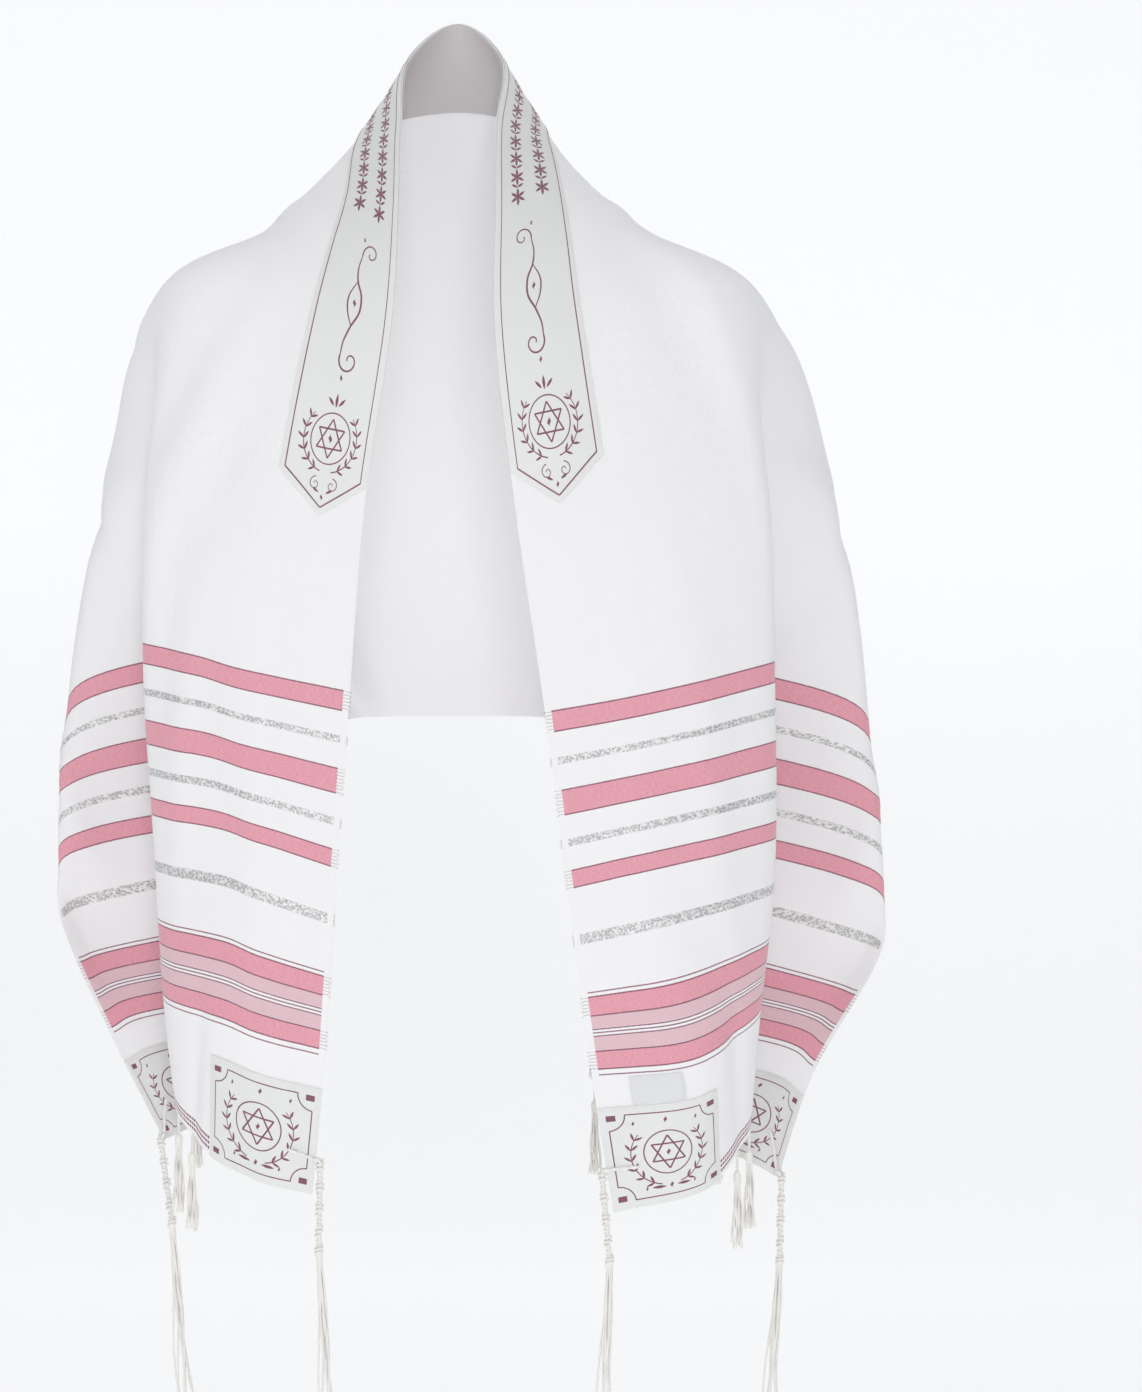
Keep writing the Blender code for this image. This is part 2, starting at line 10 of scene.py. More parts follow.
import bpy
import numpy as np
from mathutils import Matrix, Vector

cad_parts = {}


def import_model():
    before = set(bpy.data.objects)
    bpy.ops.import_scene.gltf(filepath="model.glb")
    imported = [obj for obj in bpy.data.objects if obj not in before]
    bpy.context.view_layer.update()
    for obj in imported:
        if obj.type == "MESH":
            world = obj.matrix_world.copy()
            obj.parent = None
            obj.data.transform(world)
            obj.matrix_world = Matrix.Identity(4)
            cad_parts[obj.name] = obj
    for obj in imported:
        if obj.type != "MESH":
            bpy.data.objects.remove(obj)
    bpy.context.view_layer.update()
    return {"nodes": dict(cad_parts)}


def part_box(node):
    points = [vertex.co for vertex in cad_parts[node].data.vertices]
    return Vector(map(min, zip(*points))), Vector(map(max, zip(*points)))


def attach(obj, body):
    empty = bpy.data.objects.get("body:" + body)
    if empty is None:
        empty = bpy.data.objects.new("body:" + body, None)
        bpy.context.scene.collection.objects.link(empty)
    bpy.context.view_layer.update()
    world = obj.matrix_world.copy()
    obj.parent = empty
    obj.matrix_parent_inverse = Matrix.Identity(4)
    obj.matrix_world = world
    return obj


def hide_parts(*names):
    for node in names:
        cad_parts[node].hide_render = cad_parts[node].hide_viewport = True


# Sizes of the cut pieces, as the solids have them
SHAWL_LENGTH = 1.83
SHAWL_WIDTH = 0.61
BAND_WIDTH = 0.07
BAND_SHOULDERS = {-1: 0.4125, 1: 0.3965}
BAND_POINT = 0.025
PATCH_LENGTH = 0.075
PATCH_WIDTH = 0.085
LABEL_HEIGHT = 0.02
LABEL_CLEARANCE = 0.0015
LABEL_V = (0.0233, 0.0583)
FACING_ENDS = (-0.1213, 0.1166)
STEM_LENGTH = 0.062
KNOT_COUNT = 4
TASSEL_NECK_LENGTH = 0.012
TASSEL_HEAD_LENGTH = 0.009
TASSEL_THREADS = 14
TASSEL_COUNT = 5

# Light: the lamps as name, place, aim, size and power. The one inside the shawl is
# weak and lights the inner face of its back.
BACKDROP_GLOW = 0.315
BACKDROP_START = 4.2
BACKDROP_BEND = 1.4
BACKDROP_TOP = 6.0
BACKDROP_HALF = 9.0
WORLD_LIGHT = 0.46
STUDIO_LIGHTS = (
    ("axis", (0.2, -5.6, -0.2), (0.0, 0.0, -0.4), (1.2, 1.2), 73.0),
    ("front", (-0.5, -4.2, 0.3), (0.0, 0.0, -0.4), (3.0, 2.6), 6.0),
    ("key", (-1.9, -2.2, 1.9), (0.0, 0.0, -0.4), (1.8, 1.8), 13.0),
    ("top", (0.4, -0.6, 2.3), (0.0, 0.0, -0.4), (2.0, 2.0), 10.0),
    ("inside", (0.01, -0.06, -0.29), (0.01, 0.3, -0.27), (0.1, 0.22), 0.11),
)

HALF = SHAWL_LENGTH / 2
PATCH_START = HALF - PATCH_LENGTH
LABEL_END = PATCH_START - LABEL_CLEARANCE
LABEL_START = LABEL_END - LABEL_HEIGHT

# Stations along the half length: nape, neck, neck side, collar bone, shoulder tip,
# chest, first stripe, elbow, last stripes, short end
STATIONS = (0.0, 0.07, 0.14, 0.21, 0.3, 0.42, 0.556, 0.72, 0.82, HALF)

# Guide lines, one row for each station. v is the place across the cloth, left and
# right are the distances out from the centre plane, y and z are the place, and drop
# is how far the right half hangs below the left one there, all in millimetres.
Guide = namedtuple("Guide", "v left right y z drop")
GUIDES = {
    "edge": (
        (0, 0, 0, 45, 92.5, 0),
        (0, 37, 33, 18, 61, 0),
        (0, 42, 28, -35, 3, 0),
        (0, 43, 27, -85, -60, 0),
        (0, 47, 26, -122, -143, 3),
        (0, 66, 41, -140, -276, 8),
        (0, 77, 62, -142, -412, 15.8),
        (0, 89, 83, -140, -576, 16),
        (0, 95, 96, -139, -676, 15.5),
        (0, 104, 111, -138, -771, 14.5),
    ),
    "chest": (
        (70, 0, 0, 62, 28, 0),
        (70, 61, 59, 55, 17, 0),
        (70, 78, 70, 12, -6, 0),
        (70, 84, 78, -45, -50, 0),
        (70, 104, 88, -102, -128, 3),
        (70, 129, 108, -138, -262, 9),
        (70, 145, 130, -142, -398, 17.5),
        (70, 152, 148, -140, -555.5, 22.5),
        (70, 164, 171, -138, -659, 24.5),
        (70, 168, 178, -134, -755, 14),
    ),
    "fold": (
        (150, 0, 0, 100, -43, 0),
        (150, 76, 76, 85, -46, 0),
        (150, 129, 120, 35, -58, 0),
        (150, 149, 147, -15, -75, 0),
        (150, 192, 190, -65, -106, 3),
        (155, 223.5, 221.5, -88, -236, 10),
        (150, 224.5, 224, -104, -381, 13),
        (137, 210.5, 217, -108, -545, 17),
        (134, 205.5, 212, -108, -647, 11.5),
        (130, 198, 207, -108, -728, 11),
    ),
    "turn": (
        (250, 0, 0, 140, -130, 0),
        (250, 87, 87, 132, -133, 0),
        (250, 166, 160, 80, -122, 0),
        (250, 208, 209, 30, -128, 0),
        (240, 235, 239, -12, -138, 2),
        (220, 202, 202, -50, -240, 6),
        (290, 158, 160, -18, -385, 13),
        (380, 124, 130, 36, -540, 20),
        (420, 124, 120, 56, -622, 22),
        (450, 128, 110, 70, -694, 22),
    ),
    "arm": (
        (360, 0, 0, 158, -225, 0),
        (360, 83, 83, 154, -232, 0),
        (360, 165, 170, 130, -215, 0),
        (360, 230, 238, 88, -215, 0),
        (340, 259, 276, 40, -214, 2),
        (290, 221, 222, -26, -243, 4),
        (410, 206, 208, 2, -385, 11.5),
        (485, 190, 198, 34, -552, 18),
        (520, 184, 190, 36, -653, 19.5),
        (548, 178, 184, 32, -730, 22),
    ),
    "side": (
        (450, 0, 0, 161, -305, 0),
        (450, 73, 73, 158, -312, 0),
        (450, 147, 152, 148, -300, 0),
        (450, 216, 227, 124, -300, 0),
        (440, 266, 280, 78, -300, 2),
        (360, 260, 279, 5, -250, 4),
        (485, 288, 303, 6, -412, 15.5),
        (580, 290, 308, 8, -575, 25.5),
        (585, 245, 254, -4, -665, 23),
        (590, 208, 226, -6, -743, 26),
    ),
    "rear": (
        (530, 0, 0, 160, -368, 0),
        (530, 58, 58, 158, -372, 0),
        (530, 118, 122, 152, -370, 0),
        (530, 176, 184, 140, -375, 0),
        (530, 228, 238, 108, -382, 2),
        (490, 256, 262, 72, -372, 4),
        (555, 284, 298, 48, -470, 15),
        (599, 294.5, 314, 3, -579, 24.5),
        (600, 252.5, 260.5, -9, -670, 24.5),
        (602, 215, 234, -10, -746, 27.5),
    ),
    "hem": (
        (610, 0, 0, 158, -433, 0),
        (610, 42, 42, 157, -433, 0),
        (610, 83, 85, 153, -435, 0),
        (610, 125, 129, 146, -443, 0),
        (610, 169, 175, 132, -457, 2),
        (610, 222, 232, 106, -483, 4),
        (610, 270, 282, 62, -524, 14),
        (610, 297.5, 317, 0, -582, 24),
        (610, 257, 265, -12, -672, 25.5),
        (610, 219, 238, -14, -747, 28),
    ),
}

# Soft upright folds, one row each. side is -1 on the viewer's left and 1 on the
# right, v_top and v_end place the fold where it starts and at the short end,
# half_width is across the cloth, back is how far the cloth steps back past the
# fold and drop how far it falls there, start is where the fold starts along s. A
# fold is whole at the share FOLD_WHOLE of its length and fades out across v.
Fold = namedtuple("Fold", "side v_top v_end half_width back drop start")
FRONT_FOLDS = (
    Fold(-1, 0.112, 0.045, 0.011, 0.006, 0.004, 0.44),
    Fold(1, 0.12, 0.095, 0.022, 0.003, 0.0015, 0.46),
)
FOLD_WHOLE = 0.3
FOLD_FADE_START = 0.14
FOLD_FADE_END = 0.24

# Flutes that hang down the back, between the flat middle and the upper arm
FLUTE_COUNT = 3
FLUTE_START = 0.08
FLUTE_END = 0.45
FLUTE_DEPTH = 0.014
FLUTE_V_START = 0.24
FLUTE_V_WHOLE = 0.52
FLUTE_FADE_IN = 0.12
FLUTE_FADE_OUT = 0.4
BODY_CENTRE_Y = -0.05

# Corner threads: knotted stems with eight strands each, one row for each corner.
# v_hole is how far the eyelet lies from the long edge, up_hole and up_edge are the
# heights above the short end of the eyelet and of the place where the thread
# passes over the long edge. lean moves the stem's foot and sway the strands' tips
# to the right.
CornerThread = namedtuple("CornerThread", "side place v_hole up_hole up_edge lean sway")
CORNER_THREADS = (
    CornerThread(-1, "front", 0.02, 0.028, 0.025, -0.001, 0.0085),
    CornerThread(-1, "outer", 0.022, 0.03, 0.004, 0.0085, 0.011),
    CornerThread(1, "front", 0.021, 0.03, 0.031, 0.0055, -0.005),
    CornerThread(1, "outer", 0.022, 0.032, 0.004, -0.0015, -0.009),
)

# Grids of the cloth and of the trims on it, and how their walls lie
FINE_STEP = 0.0025
SHELL_STEP_S = 0.005
SHELL_STEP_V = 0.0061
SHELL_HALF_WALL = 0.0005
TRIM_SEAT = 0.0009
TRIM_TOP = 0.0018
EDGE_DROP = 0.0005
EDGE_ROUND = 0.004
LABEL_ROUND = 0.002
LABEL_SWELL = 0.0007
BAND_CELLS = 130
BAND_STEP = 0.0035
PATCH_STEP = 0.0025
LABEL_STEP = 0.0015

# Raised embroidery, and the sewing that holds the trims
ORNAMENT_SINK = 0.00015
ORNAMENT_CREST = 0.0003
STITCH_PITCH = 0.0034
STITCH_WIDTH = 0.0006
STITCH_CREST = 0.00025
STITCH_SINK = 0.0002
STITCH_INSET = 0.0016
LABEL_STITCH_INSET = 0.0014
LABEL_STITCH_END = 0.002

# Soft creases, one row each: s and v of the middle, the lean of the crease from
# the s direction in degrees, its half length, half width and depth. A negative
# depth is a trough.
Crease = namedtuple("Crease", "s v lean half_length half_width depth")
CREASE_WANDER = 0.1
CREASE_WAVES = 4.0
CREASES = (
    (-0.34, 0.12, -12, 0.09, 0.012, -0.0041),
    (-0.42, 0.128, -10, 0.12, 0.011, 0.0054),
    (-0.44, 0.108, -10, 0.12, 0.012, -0.004),
    (-0.46, 0.04, 3, 0.12, 0.014, -0.0025),
    (-0.6, 0.118, -3, 0.16, 0.009, 0.0041),
    (-0.66, 0.045, 2, 0.17, 0.013, -0.0031),
    (-0.8, 0.03, 4, 0.08, 0.01, 0.0025),
    (-0.86, 0.105, -6, 0.06, 0.008, -0.004),
    (0.33, 0.118, 11, 0.09, 0.013, -0.0041),
    (0.39, 0.142, 6, 0.11, 0.01, 0.0034),
    (0.5, 0.055, -3, 0.14, 0.015, -0.0025),
    (0.62, 0.105, 3, 0.18, 0.012, 0.0036),
    (0.7, 0.038, -2, 0.15, 0.012, -0.0029),
    (0.83, 0.112, 4, 0.07, 0.009, -0.004),
    (-0.2, 0.11, 38, 0.06, 0.012, 0.0031),
    (0.2, 0.112, -38, 0.06, 0.012, 0.0031),
    (-0.47, 0.4, -5, 0.1, 0.012, -0.0036),
    (0.47, 0.402, 5, 0.1, 0.012, -0.0032),
    (-0.62, 0.53, -10, 0.09, 0.01, 0.0026),
    (0.63, 0.535, 9, 0.09, 0.01, 0.0026),
    (-0.1, 0.3, 70, 0.11, 0.014, 0.0029),
    (0.12, 0.33, -72, 0.12, 0.015, 0.0026),
    (0.0, 0.42, 88, 0.12, 0.016, -0.0023),
    (-0.04, 0.2, 84, 0.08, 0.012, -0.002),
    (0.26, 0.3, -60, 0.09, 0.012, -0.0029),
    (-0.27, 0.31, 58, 0.095, 0.012, -0.003),
)

# Woven stripes, one row each: distance of the middle from the short end, and half
# the width. Pink stripes have a plum line along each side.
PINK_STRIPES = ((0.1095, 0.0064), (0.1478, 0.0067), (0.2393, 0.0062), (0.2943, 0.0088),
                (0.3515, 0.007))
SILVER_STRIPES = ((0.1958, 0.0037), (0.2653, 0.0028), (0.324, 0.0025))
PALE_STRIPES = ((0.1213, 0.0048), (0.1363, 0.0043))
PLUM_LINES = (0.099, 0.1266, 0.129, 0.1314, 0.1576)
PLUM_LINE_HALF = 0.00045
OUTLINE_HALF = 0.0005
SELVEDGE = 0.0045
HEM_LINES = (0.005, 0.0088, 0.0126)
HEM_LINE_HALF = 0.0011

# Colours, linear
WHITE, WHITE_SHADE = (0.9, 0.9, 0.91), (0.885, 0.885, 0.9)
PINK_LIGHT, PINK_DEEP = (0.8, 0.385, 0.45), (0.68, 0.255, 0.32)
PALE_LIGHT, PALE_DEEP = (0.84, 0.62, 0.655), (0.61, 0.37, 0.42)
PLUM, PLUM_SHADE = (0.265, 0.095, 0.14), (0.2, 0.075, 0.115)
SATIN, SATIN_SHADE = (0.82, 0.83, 0.82), (0.73, 0.74, 0.73)
# The facing's satin is a darker copy of the band's satin: painted shade for the inside of the
# nape
NAPE_SHADE_SATIN, NAPE_SHADE_SATIN_DARK = (0.6, 0.57, 0.58), (0.52, 0.49, 0.5)
# The label's tape is greyed as painted shade for the shade at its curled ends
LABEL_TAPE_SHADED, LABEL_TAPE_SHADED_DARK = (0.8, 0.81, 0.82), (0.66, 0.67, 0.68)
THREAD_WHITE, THREAD_SHADE = (0.93, 0.915, 0.88), (0.8, 0.775, 0.735)
# The silver stripes' speckle of light and dark is painted glint and painted reflection of the
# metal yarn
SILVER_GLINT_LIGHT, SILVER_GLINT_DARK = (0.82, 0.82, 0.82), (0.2, 0.2, 0.21)
PAPER = (0.92, 0.925, 0.925, 1.0)
SKY = (0.96, 0.97, 1.0, 1.0)

# Uneven textures; stretch is how much finer each one is along its three directions
Texture = namedtuple("Texture", "scale detail roughness stretch", defaults=(None,))
RAGGED = Texture(900.0, 2.0, 0.6)
PINK_GRAIN = Texture(1500.0, 2.0, 0.7, (1.0, 0.3, 1.0))
PALE_GRAIN = Texture(1500.0, 2.0, 0.6, (0.3, 2.0, 1.0))
WHITE_CLOUD = Texture(9.0, 3.0, 0.5)
SLUB = Texture(60.0, 4.0, 0.6, (1.0, 6.0, 1.0))
CRUMPLE = Texture(14.0, 3.0, 0.45)
SATIN_FLOATS = Texture(1800.0, 2.0, 0.6, (0.12, 1.0, 1.0))
SATIN_CLOUD = Texture(30.0, 3.0, 0.5)
FIBRE = Texture(1400.0, 3.0, 0.7, (1.0, 1.0, 0.35))
FIBRE_CLOUD = Texture(120.0, 2.0, 0.5)
GLINT_SCALE, GLINT_GAIN = 620.0, 1.25
PINK_CONTRAST = (2.4, -0.6)

# Fine relief: strength and depth
WEAVE_BUMP = (0.22, 0.0003)
SLUB_BUMP = (0.15, 0.001)
CRUMPLE_BUMP = (0.18, 0.006)
SATIN_BUMP = (0.25, 0.0002)
FIBRE_BUMP = (0.5, 0.0003)

# The weaves' pitches, and how the stripes' edges, ticks and dashes are drawn
WEAVE_PITCH, TWILL_PITCH = 0.0011, 0.0016
SATIN_PITCH, TAPE_PITCH = 0.0009, 0.0007
RAGGED_REACH = 0.0006
SILVER_SOFT = SELVEDGE_SOFT = 0.0004
TICK_PITCH, TICK_LEVEL, TICK_SHADE = 0.0024, 0.35, 0.35
DASH_PITCH, DASH_LEVEL = 0.003, -0.75

# Surfaces: roughness, sheen, metal, and the light that passes through the cloth
CLOTH_ROUGHNESS, SILVER_SMOOTHER, SILVER_METAL = 0.72, -0.22, 0.25
SATIN_ROUGHNESS = (0.18, 0.36)
THREAD_ROUGHNESS = 0.78
CLOTH_SHEEN, SATIN_SHEEN, THREAD_SHEEN, SHEEN_ROUGHNESS = 0.25, 0.15, 0.35, 0.5
CLOTH_THROUGH, LIGHT_REACH = 0.4, 0.004

# Neckband ornament: border, star and scroll, up from the band's point, then the
# columns of flowers, each as its place across and how much higher it starts
BAND_BORDERS = (-BAND_WIDTH / 2 + 0.0055, BAND_WIDTH / 2 - 0.004)
BAND_TIP = 0.005
BORDER_WIDTH = 0.0013
BAND_BORDER_WIDTH = 0.0012
BAND_STAR_RISE = 0.05
SCROLL_RISE = 0.1385
SCROLL_STEM = ((0.0046, -0.036), (0.004, -0.027), (0.0, -0.0165), (-0.0056, -0.006),
               (-0.0052, 0.006), (0.0, 0.0165), (0.0016, 0.0265), (-0.0004, 0.037))
SCROLL_EYE = ((0.0, -0.0165), (0.0052, -0.006), (0.006, 0.005), (0.0, 0.0165))
FLOWER_COLUMNS = ((-0.0125, 0.0), (0.0135, 0.006))
FLOWERS_RISE = 0.205
FLOWERS_GAP = 0.004
FLOWER_PITCH = 0.0186
PATCH_MARGIN = 0.006
PATCH_NOTCH = 0.011
LEAF_SPOTS = 7
SPRAY_SPOTS = 20
SPRAY_BEND = (-1.35, 0.75)
SPRAY_LEAN = 0.75
SPRAY_LEAF_LENGTH = 0.26
SPRAY_LEAF_WIDTH = 0.11

# Windings of thread, one row each: the part of the knot or head that it covers, how
# much higher it starts, its radius, turns, thickness, sides, tilt, where it starts
# round the stem, and how much further round it starts at each knot
Winding = namedtuple(
    "Winding", "start end rise radius turns thick sides tilt phase phase_step")
KNOT_WINDINGS = (
    *(Winding(0.0, 1.0, 0.0, 0.0009, 1.2, 0.00085, 6, 0.0, quarter * math.pi / 2, 0.0)
      for quarter in range(4)),
    Winding(0.0, 0.38, 0.001, 0.0023, 2.2, 0.001, 7, 0.45, 0.0, 1.3),
    Winding(0.38, 1.0, 0.0, 0.0017, 3.2, 0.0007, 6, 0.1, 0.0, 0.7),
)
FOOT_WINDING = Winding(0.0, 1.0, 0.0, 0.0024, 2.4, 0.0011, 7, 0.5, 0.4, 0.0)
TASSEL_CORD = Winding(0.0, 1.0, 0.0, 0.0006, 2.5, 0.0006, 6, 0.0, 0.0, 0.0)
TASSEL_WRAP = Winding(0.55, 0.95, 0.0, 0.0023, 4, 0.00055, 6, 0.0, 0.0, 0.0)
TASSEL_CROWN = {0.0: 0.001, 0.2: 0.0024, 0.45: 0.003, 0.7: 0.0024, 1.0: 0.002}

# Sizes of the tassels, the cords over the edge, the strands and the yarn ends
TASSEL_SPREAD = 0.0035
TASSEL_STAGGER = 0.0022
TASSEL_SWAY = 0.0012
TASSEL_STRAND_RADIUS = 0.00062
CORD_RADIUS = 0.0011
CORD_LIFT = 0.0014
CORD_LIFT_BEHIND = 0.0022
CORD_PLY_DEPTH = 0.22
PLY_DEPTH = 0.25
STRAND_COUNT = 8
STRAND_ROOT = 0.0014
STRAND_REACH = 0.0045
STRAND_REACH_SPREAD = 0.0022
STRAND_STAGGER = 0.0035
STRAND_SWAY = 0.0022
STRAND_RADIUS = 0.00085
STRAND_WAVES = (7.0, 5.5)
CORD_SEAT = 0.6
CORD_CLEAR = 0.0024
CORD_EDGE = 0.0032
CORD_DROP = 0.004
YARN_END_REACH = (0.0009, 0.0015)
YARN_END_RADII = (0.00025, 0.00022, 0.0001)
YARN_END_DROOP = 0.0006
TUBE_UP = Vector((0.31, 0.87, 0.12))

# Camera: straight in front, level, far enough for a studio lens. The picture's size
# and the place of the frame's origin in it are in pixels.
FRONT_PLANE_Y = -0.14
CAMERA_DISTANCE = 3.0
PICTURE_WIDE, PICTURE_HIGH = 1142, 1392
PIXELS_A_METRE = 1400
ORIGIN_ACROSS, ORIGIN_DOWN = 458, 112
FRAME_HEIGHT_AT_FRONT = PICTURE_HIGH / PIXELS_A_METRE
FRAME_MIDDLE = ((PICTURE_WIDE / 2 - ORIGIN_ACROSS) / PIXELS_A_METRE,
                (ORIGIN_DOWN - PICTURE_HIGH / 2) / PIXELS_A_METRE)
SENSOR = 36.0
FLOOR_Z = -1.44
SHARP_ANGLE = math.radians(60)


def smooth_step(value, low, high):
    share = np.clip((value - low) / (high - low), 0.0, 1.0)
    return share * share * (3.0 - 2.0 * share)


def spline(knots, values, at):
    """A smooth curve through the values at the knots, read at many places."""
    knots = np.asarray(knots, float)
    values = np.asarray(values, float)
    at = np.asarray(at, float)
    steps = np.diff(knots)
    secants = np.diff(values) / steps
    slopes = np.empty_like(values)
    slopes[0] = secants[0]
    slopes[-1] = secants[-1]
    slopes[1:-1] = (steps[1:] * secants[:-1] + steps[:-1] * secants[1:]) / (
        steps[1:] + steps[:-1]
    )
    span = np.clip(np.searchsorted(knots, at, side="left") - 1, 0, len(steps) - 1)
    width = steps[span]
    share = (at - knots[span]) / width
    square = share * share
    cube = square * share
    return (
        values[span] * (2 * cube - 3 * square + 1)
        + slopes[span] * width * (cube - 2 * square + share)
        + values[span + 1] * (3 * square - 2 * cube)
        + slopes[span + 1] * width * (cube - square)
    )


def guide_sections(s_lines):
    """For each guide line, its v, x, y, z at every s."""
    sections = []
    for table in GUIDES.values():
        guides = [Guide(*(value / 1000 for value in row)) for row in table]
        left = [(-s, g.v, -g.left, g.y, g.z) for s, g in zip(STATIONS, guides)]
        right = [(s, g.v, g.right, g.y, g.z - g.drop) for s, g in zip(STATIONS, guides)]
        whole = np.array(left[:0:-1] + right)
        sections.append([spline(whole[:, 0], whole[:, k], s_lines) for k in range(1, 5)])
    return np.array(sections)


def front_fold_shift(s, v):
    shift_y = np.zeros_like(v)
    shift_z = np.zeros_like(v)
    for fold in FRONT_FOLDS:
        if s * fold.side < fold.start:
            continue
        along = (abs(s) - fold.start) / (HALF - fold.start)
        centre = fold.v_top + (fold.v_end - fold.v_top) * along
        fade = 1.0 - smooth_step(v, FOLD_FADE_START, FOLD_FADE_END)
        strength = smooth_step(along, 0.0, FOLD_WHOLE) * fade
        step = 0.5 * np.tanh((centre - v) / fold.half_width)
        shift_y -= fold.back * strength * step
        shift_z -= fold.drop * strength * step
    return shift_y, shift_z


def add_flutes(line, s, v):
    reach = abs(s)
    if reach <= FLUTE_START or reach >= FLUTE_END:
        return
    share = (reach - FLUTE_START) / (FLUTE_END - FLUTE_START)
    fade = smooth_step(share, 0.0, FLUTE_FADE_IN)
    fade *= 1.0 - smooth_step(share, FLUTE_FADE_OUT, 1.0)
    depth = FLUTE_DEPTH * fade * smooth_step(v, FLUTE_V_START, FLUTE_V_WHOLE)
    outward = np.stack([line[:, 0], line[:, 1] - BODY_CENTRE_Y, np.zeros(len(v))], axis=1)
    outward /= np.linalg.norm(outward, axis=1, keepdims=True)
    line += outward * (depth * math.sin(2 * math.pi * FLUTE_COUNT * share))[:, None]


def outward_of(points):
    along = np.gradient(points, axis=0)
    across = np.gradient(points, axis=1)
    normal = np.cross(along, across)
    return normal / np.linalg.norm(normal, axis=2, keepdims=True)


def add_creases(points, s_lines, v_lines):
    normal = outward_of(points)
    s, v = np.meshgrid(s_lines, v_lines, indexing="ij")
    height = np.zeros_like(s)
    for row in CREASES:
        crease = Crease(*row)
        turn = math.radians(crease.lean)
        from_s, from_v = s - crease.s, v - crease.v
        along = (from_s * math.cos(turn) + from_v * math.sin(turn)) / crease.half_length
        beside = (from_v * math.cos(turn) - from_s * math.sin(turn)) / crease.half_width
        beside = beside + CREASE_WANDER * np.sin(along * CREASE_WAVES)
        height += crease.depth * np.exp(-(along ** 2) - beside ** 2)
    return points + normal * height[:, :, None]


# Where the cloth under each shoulder is eased smooth, by how many light passes, and
# how far it is then let out sideways again
EASE_S, EASE_V = 0.385, 0.35
EASE_HALF_S, EASE_HALF_V = 0.085, 0.085
EASE_PASSES = 260
EASE_SHARE = 0.9
EASE_OUT = 0.0045


def ease_shoulders(points, s_lines, v_lines):
    """Draw the cloth under the shoulders smooth, most at the middle of each place."""
    along = (np.abs(s_lines)[:, None] - EASE_S) / EASE_HALF_S
    across = (v_lines[None, :] - EASE_V) / EASE_HALF_V
    share = np.exp(-(along ** 2) - across ** 2)[1:-1, 1:-1, None] * EASE_SHARE
    for _ in range(EASE_PASSES):
        beside = (points[:-2, 1:-1] + points[2:, 1:-1]
                  + points[1:-1, :-2] + points[1:-1, 2:]) / 4
        points[1:-1, 1:-1] += share * (beside - points[1:-1, 1:-1])
    points[1:-1, 1:-1, 0] += np.sign(s_lines)[1:-1, None] * EASE_OUT * share[..., 0]
    return points


def fine_cloth():
    """The cloth's middle surface on a fine even grid, with its outward directions."""
    s_lines = np.linspace(-HALF, HALF, int(round(SHAWL_LENGTH / FINE_STEP)) + 1)
    v_lines = np.linspace(0.0, SHAWL_WIDTH, int(round(SHAWL_WIDTH / FINE_STEP)) + 1)
    sections = guide_sections(s_lines)
    points = np.empty((len(s_lines), len(v_lines), 3))
    for i, s in enumerate(s_lines):
        knots = sections[:, 0, i]
        line = np.stack(
            [spline(knots, sections[:, k, i], v_lines) for k in (1, 2, 3)], axis=1
        )
        shift_y, shift_z = front_fold_shift(s, v_lines)
        line[:, 1] += shift_y
        line[:, 2] += shift_z
        add_flutes(line, s, v_lines)
        points[i] = line
    points = ease_shoulders(points, s_lines, v_lines)
    points = add_creases(points, s_lines, v_lines)
    return s_lines, v_lines, points, outward_of(points)


S_LINES, V_LINES, FINE_POINTS, FINE_OUTWARD = fine_cloth()


def read_grid(table, s, v):
    """Values of a fine table between its lines."""
    i = np.clip((np.asarray(s) + HALF) / SHAWL_LENGTH, 0, 1) * (len(S_LINES) - 1)
    j = np.clip(np.asarray(v) / SHAWL_WIDTH, 0, 1) * (len(V_LINES) - 1)
    i0 = np.minimum(i.astype(int), len(S_LINES) - 2)
    j0 = np.minimum(j.astype(int), len(V_LINES) - 2)
    fi = (i - i0)[..., None]
    fj = (j - j0)[..., None]
    return (
        table[i0, j0] * (1 - fi) * (1 - fj)
        + table[i0 + 1, j0] * fi * (1 - fj)
        + table[i0, j0 + 1] * (1 - fi) * fj
        + table[i0 + 1, j0 + 1] * fi * fj
    )


def cloth_at(s, v, offset=0.0):
    """Places at an offset out from the cloth's middle."""
    s = np.asarray(s, float)
    v = np.asarray(v, float)
    base = read_grid(FINE_POINTS, s, v)
    return base + read_grid(FINE_OUTWARD, s, v) * np.asarray(offset)[..., None]


def make_object(name, verts, faces, material, stands_for=None, uvs=None):
    mesh = bpy.data.meshes.new(name)
    mesh.from_pydata([tuple(p) for p in verts], [], faces)
    if uvs is not None:
        layer = mesh.uv_layers.new(name="cloth_uv")
        corner = np.empty(len(mesh.loops), np.int32)
        mesh.loops.foreach_get("vertex_index", corner)
        layer.data.foreach_set("uv", np.asarray(uvs, np.float32)[corner].ravel())
    mesh.materials.append(material)
    mesh.shade_smooth()
    mesh.set_sharp_from_angle(angle=SHARP_ANGLE)
    mesh.update()
    item = bpy.data.objects.new(name, mesh)
    bpy.context.scene.collection.objects.link(item)
    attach(item, "root")
    if stands_for:
        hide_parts(stands_for)
    return item


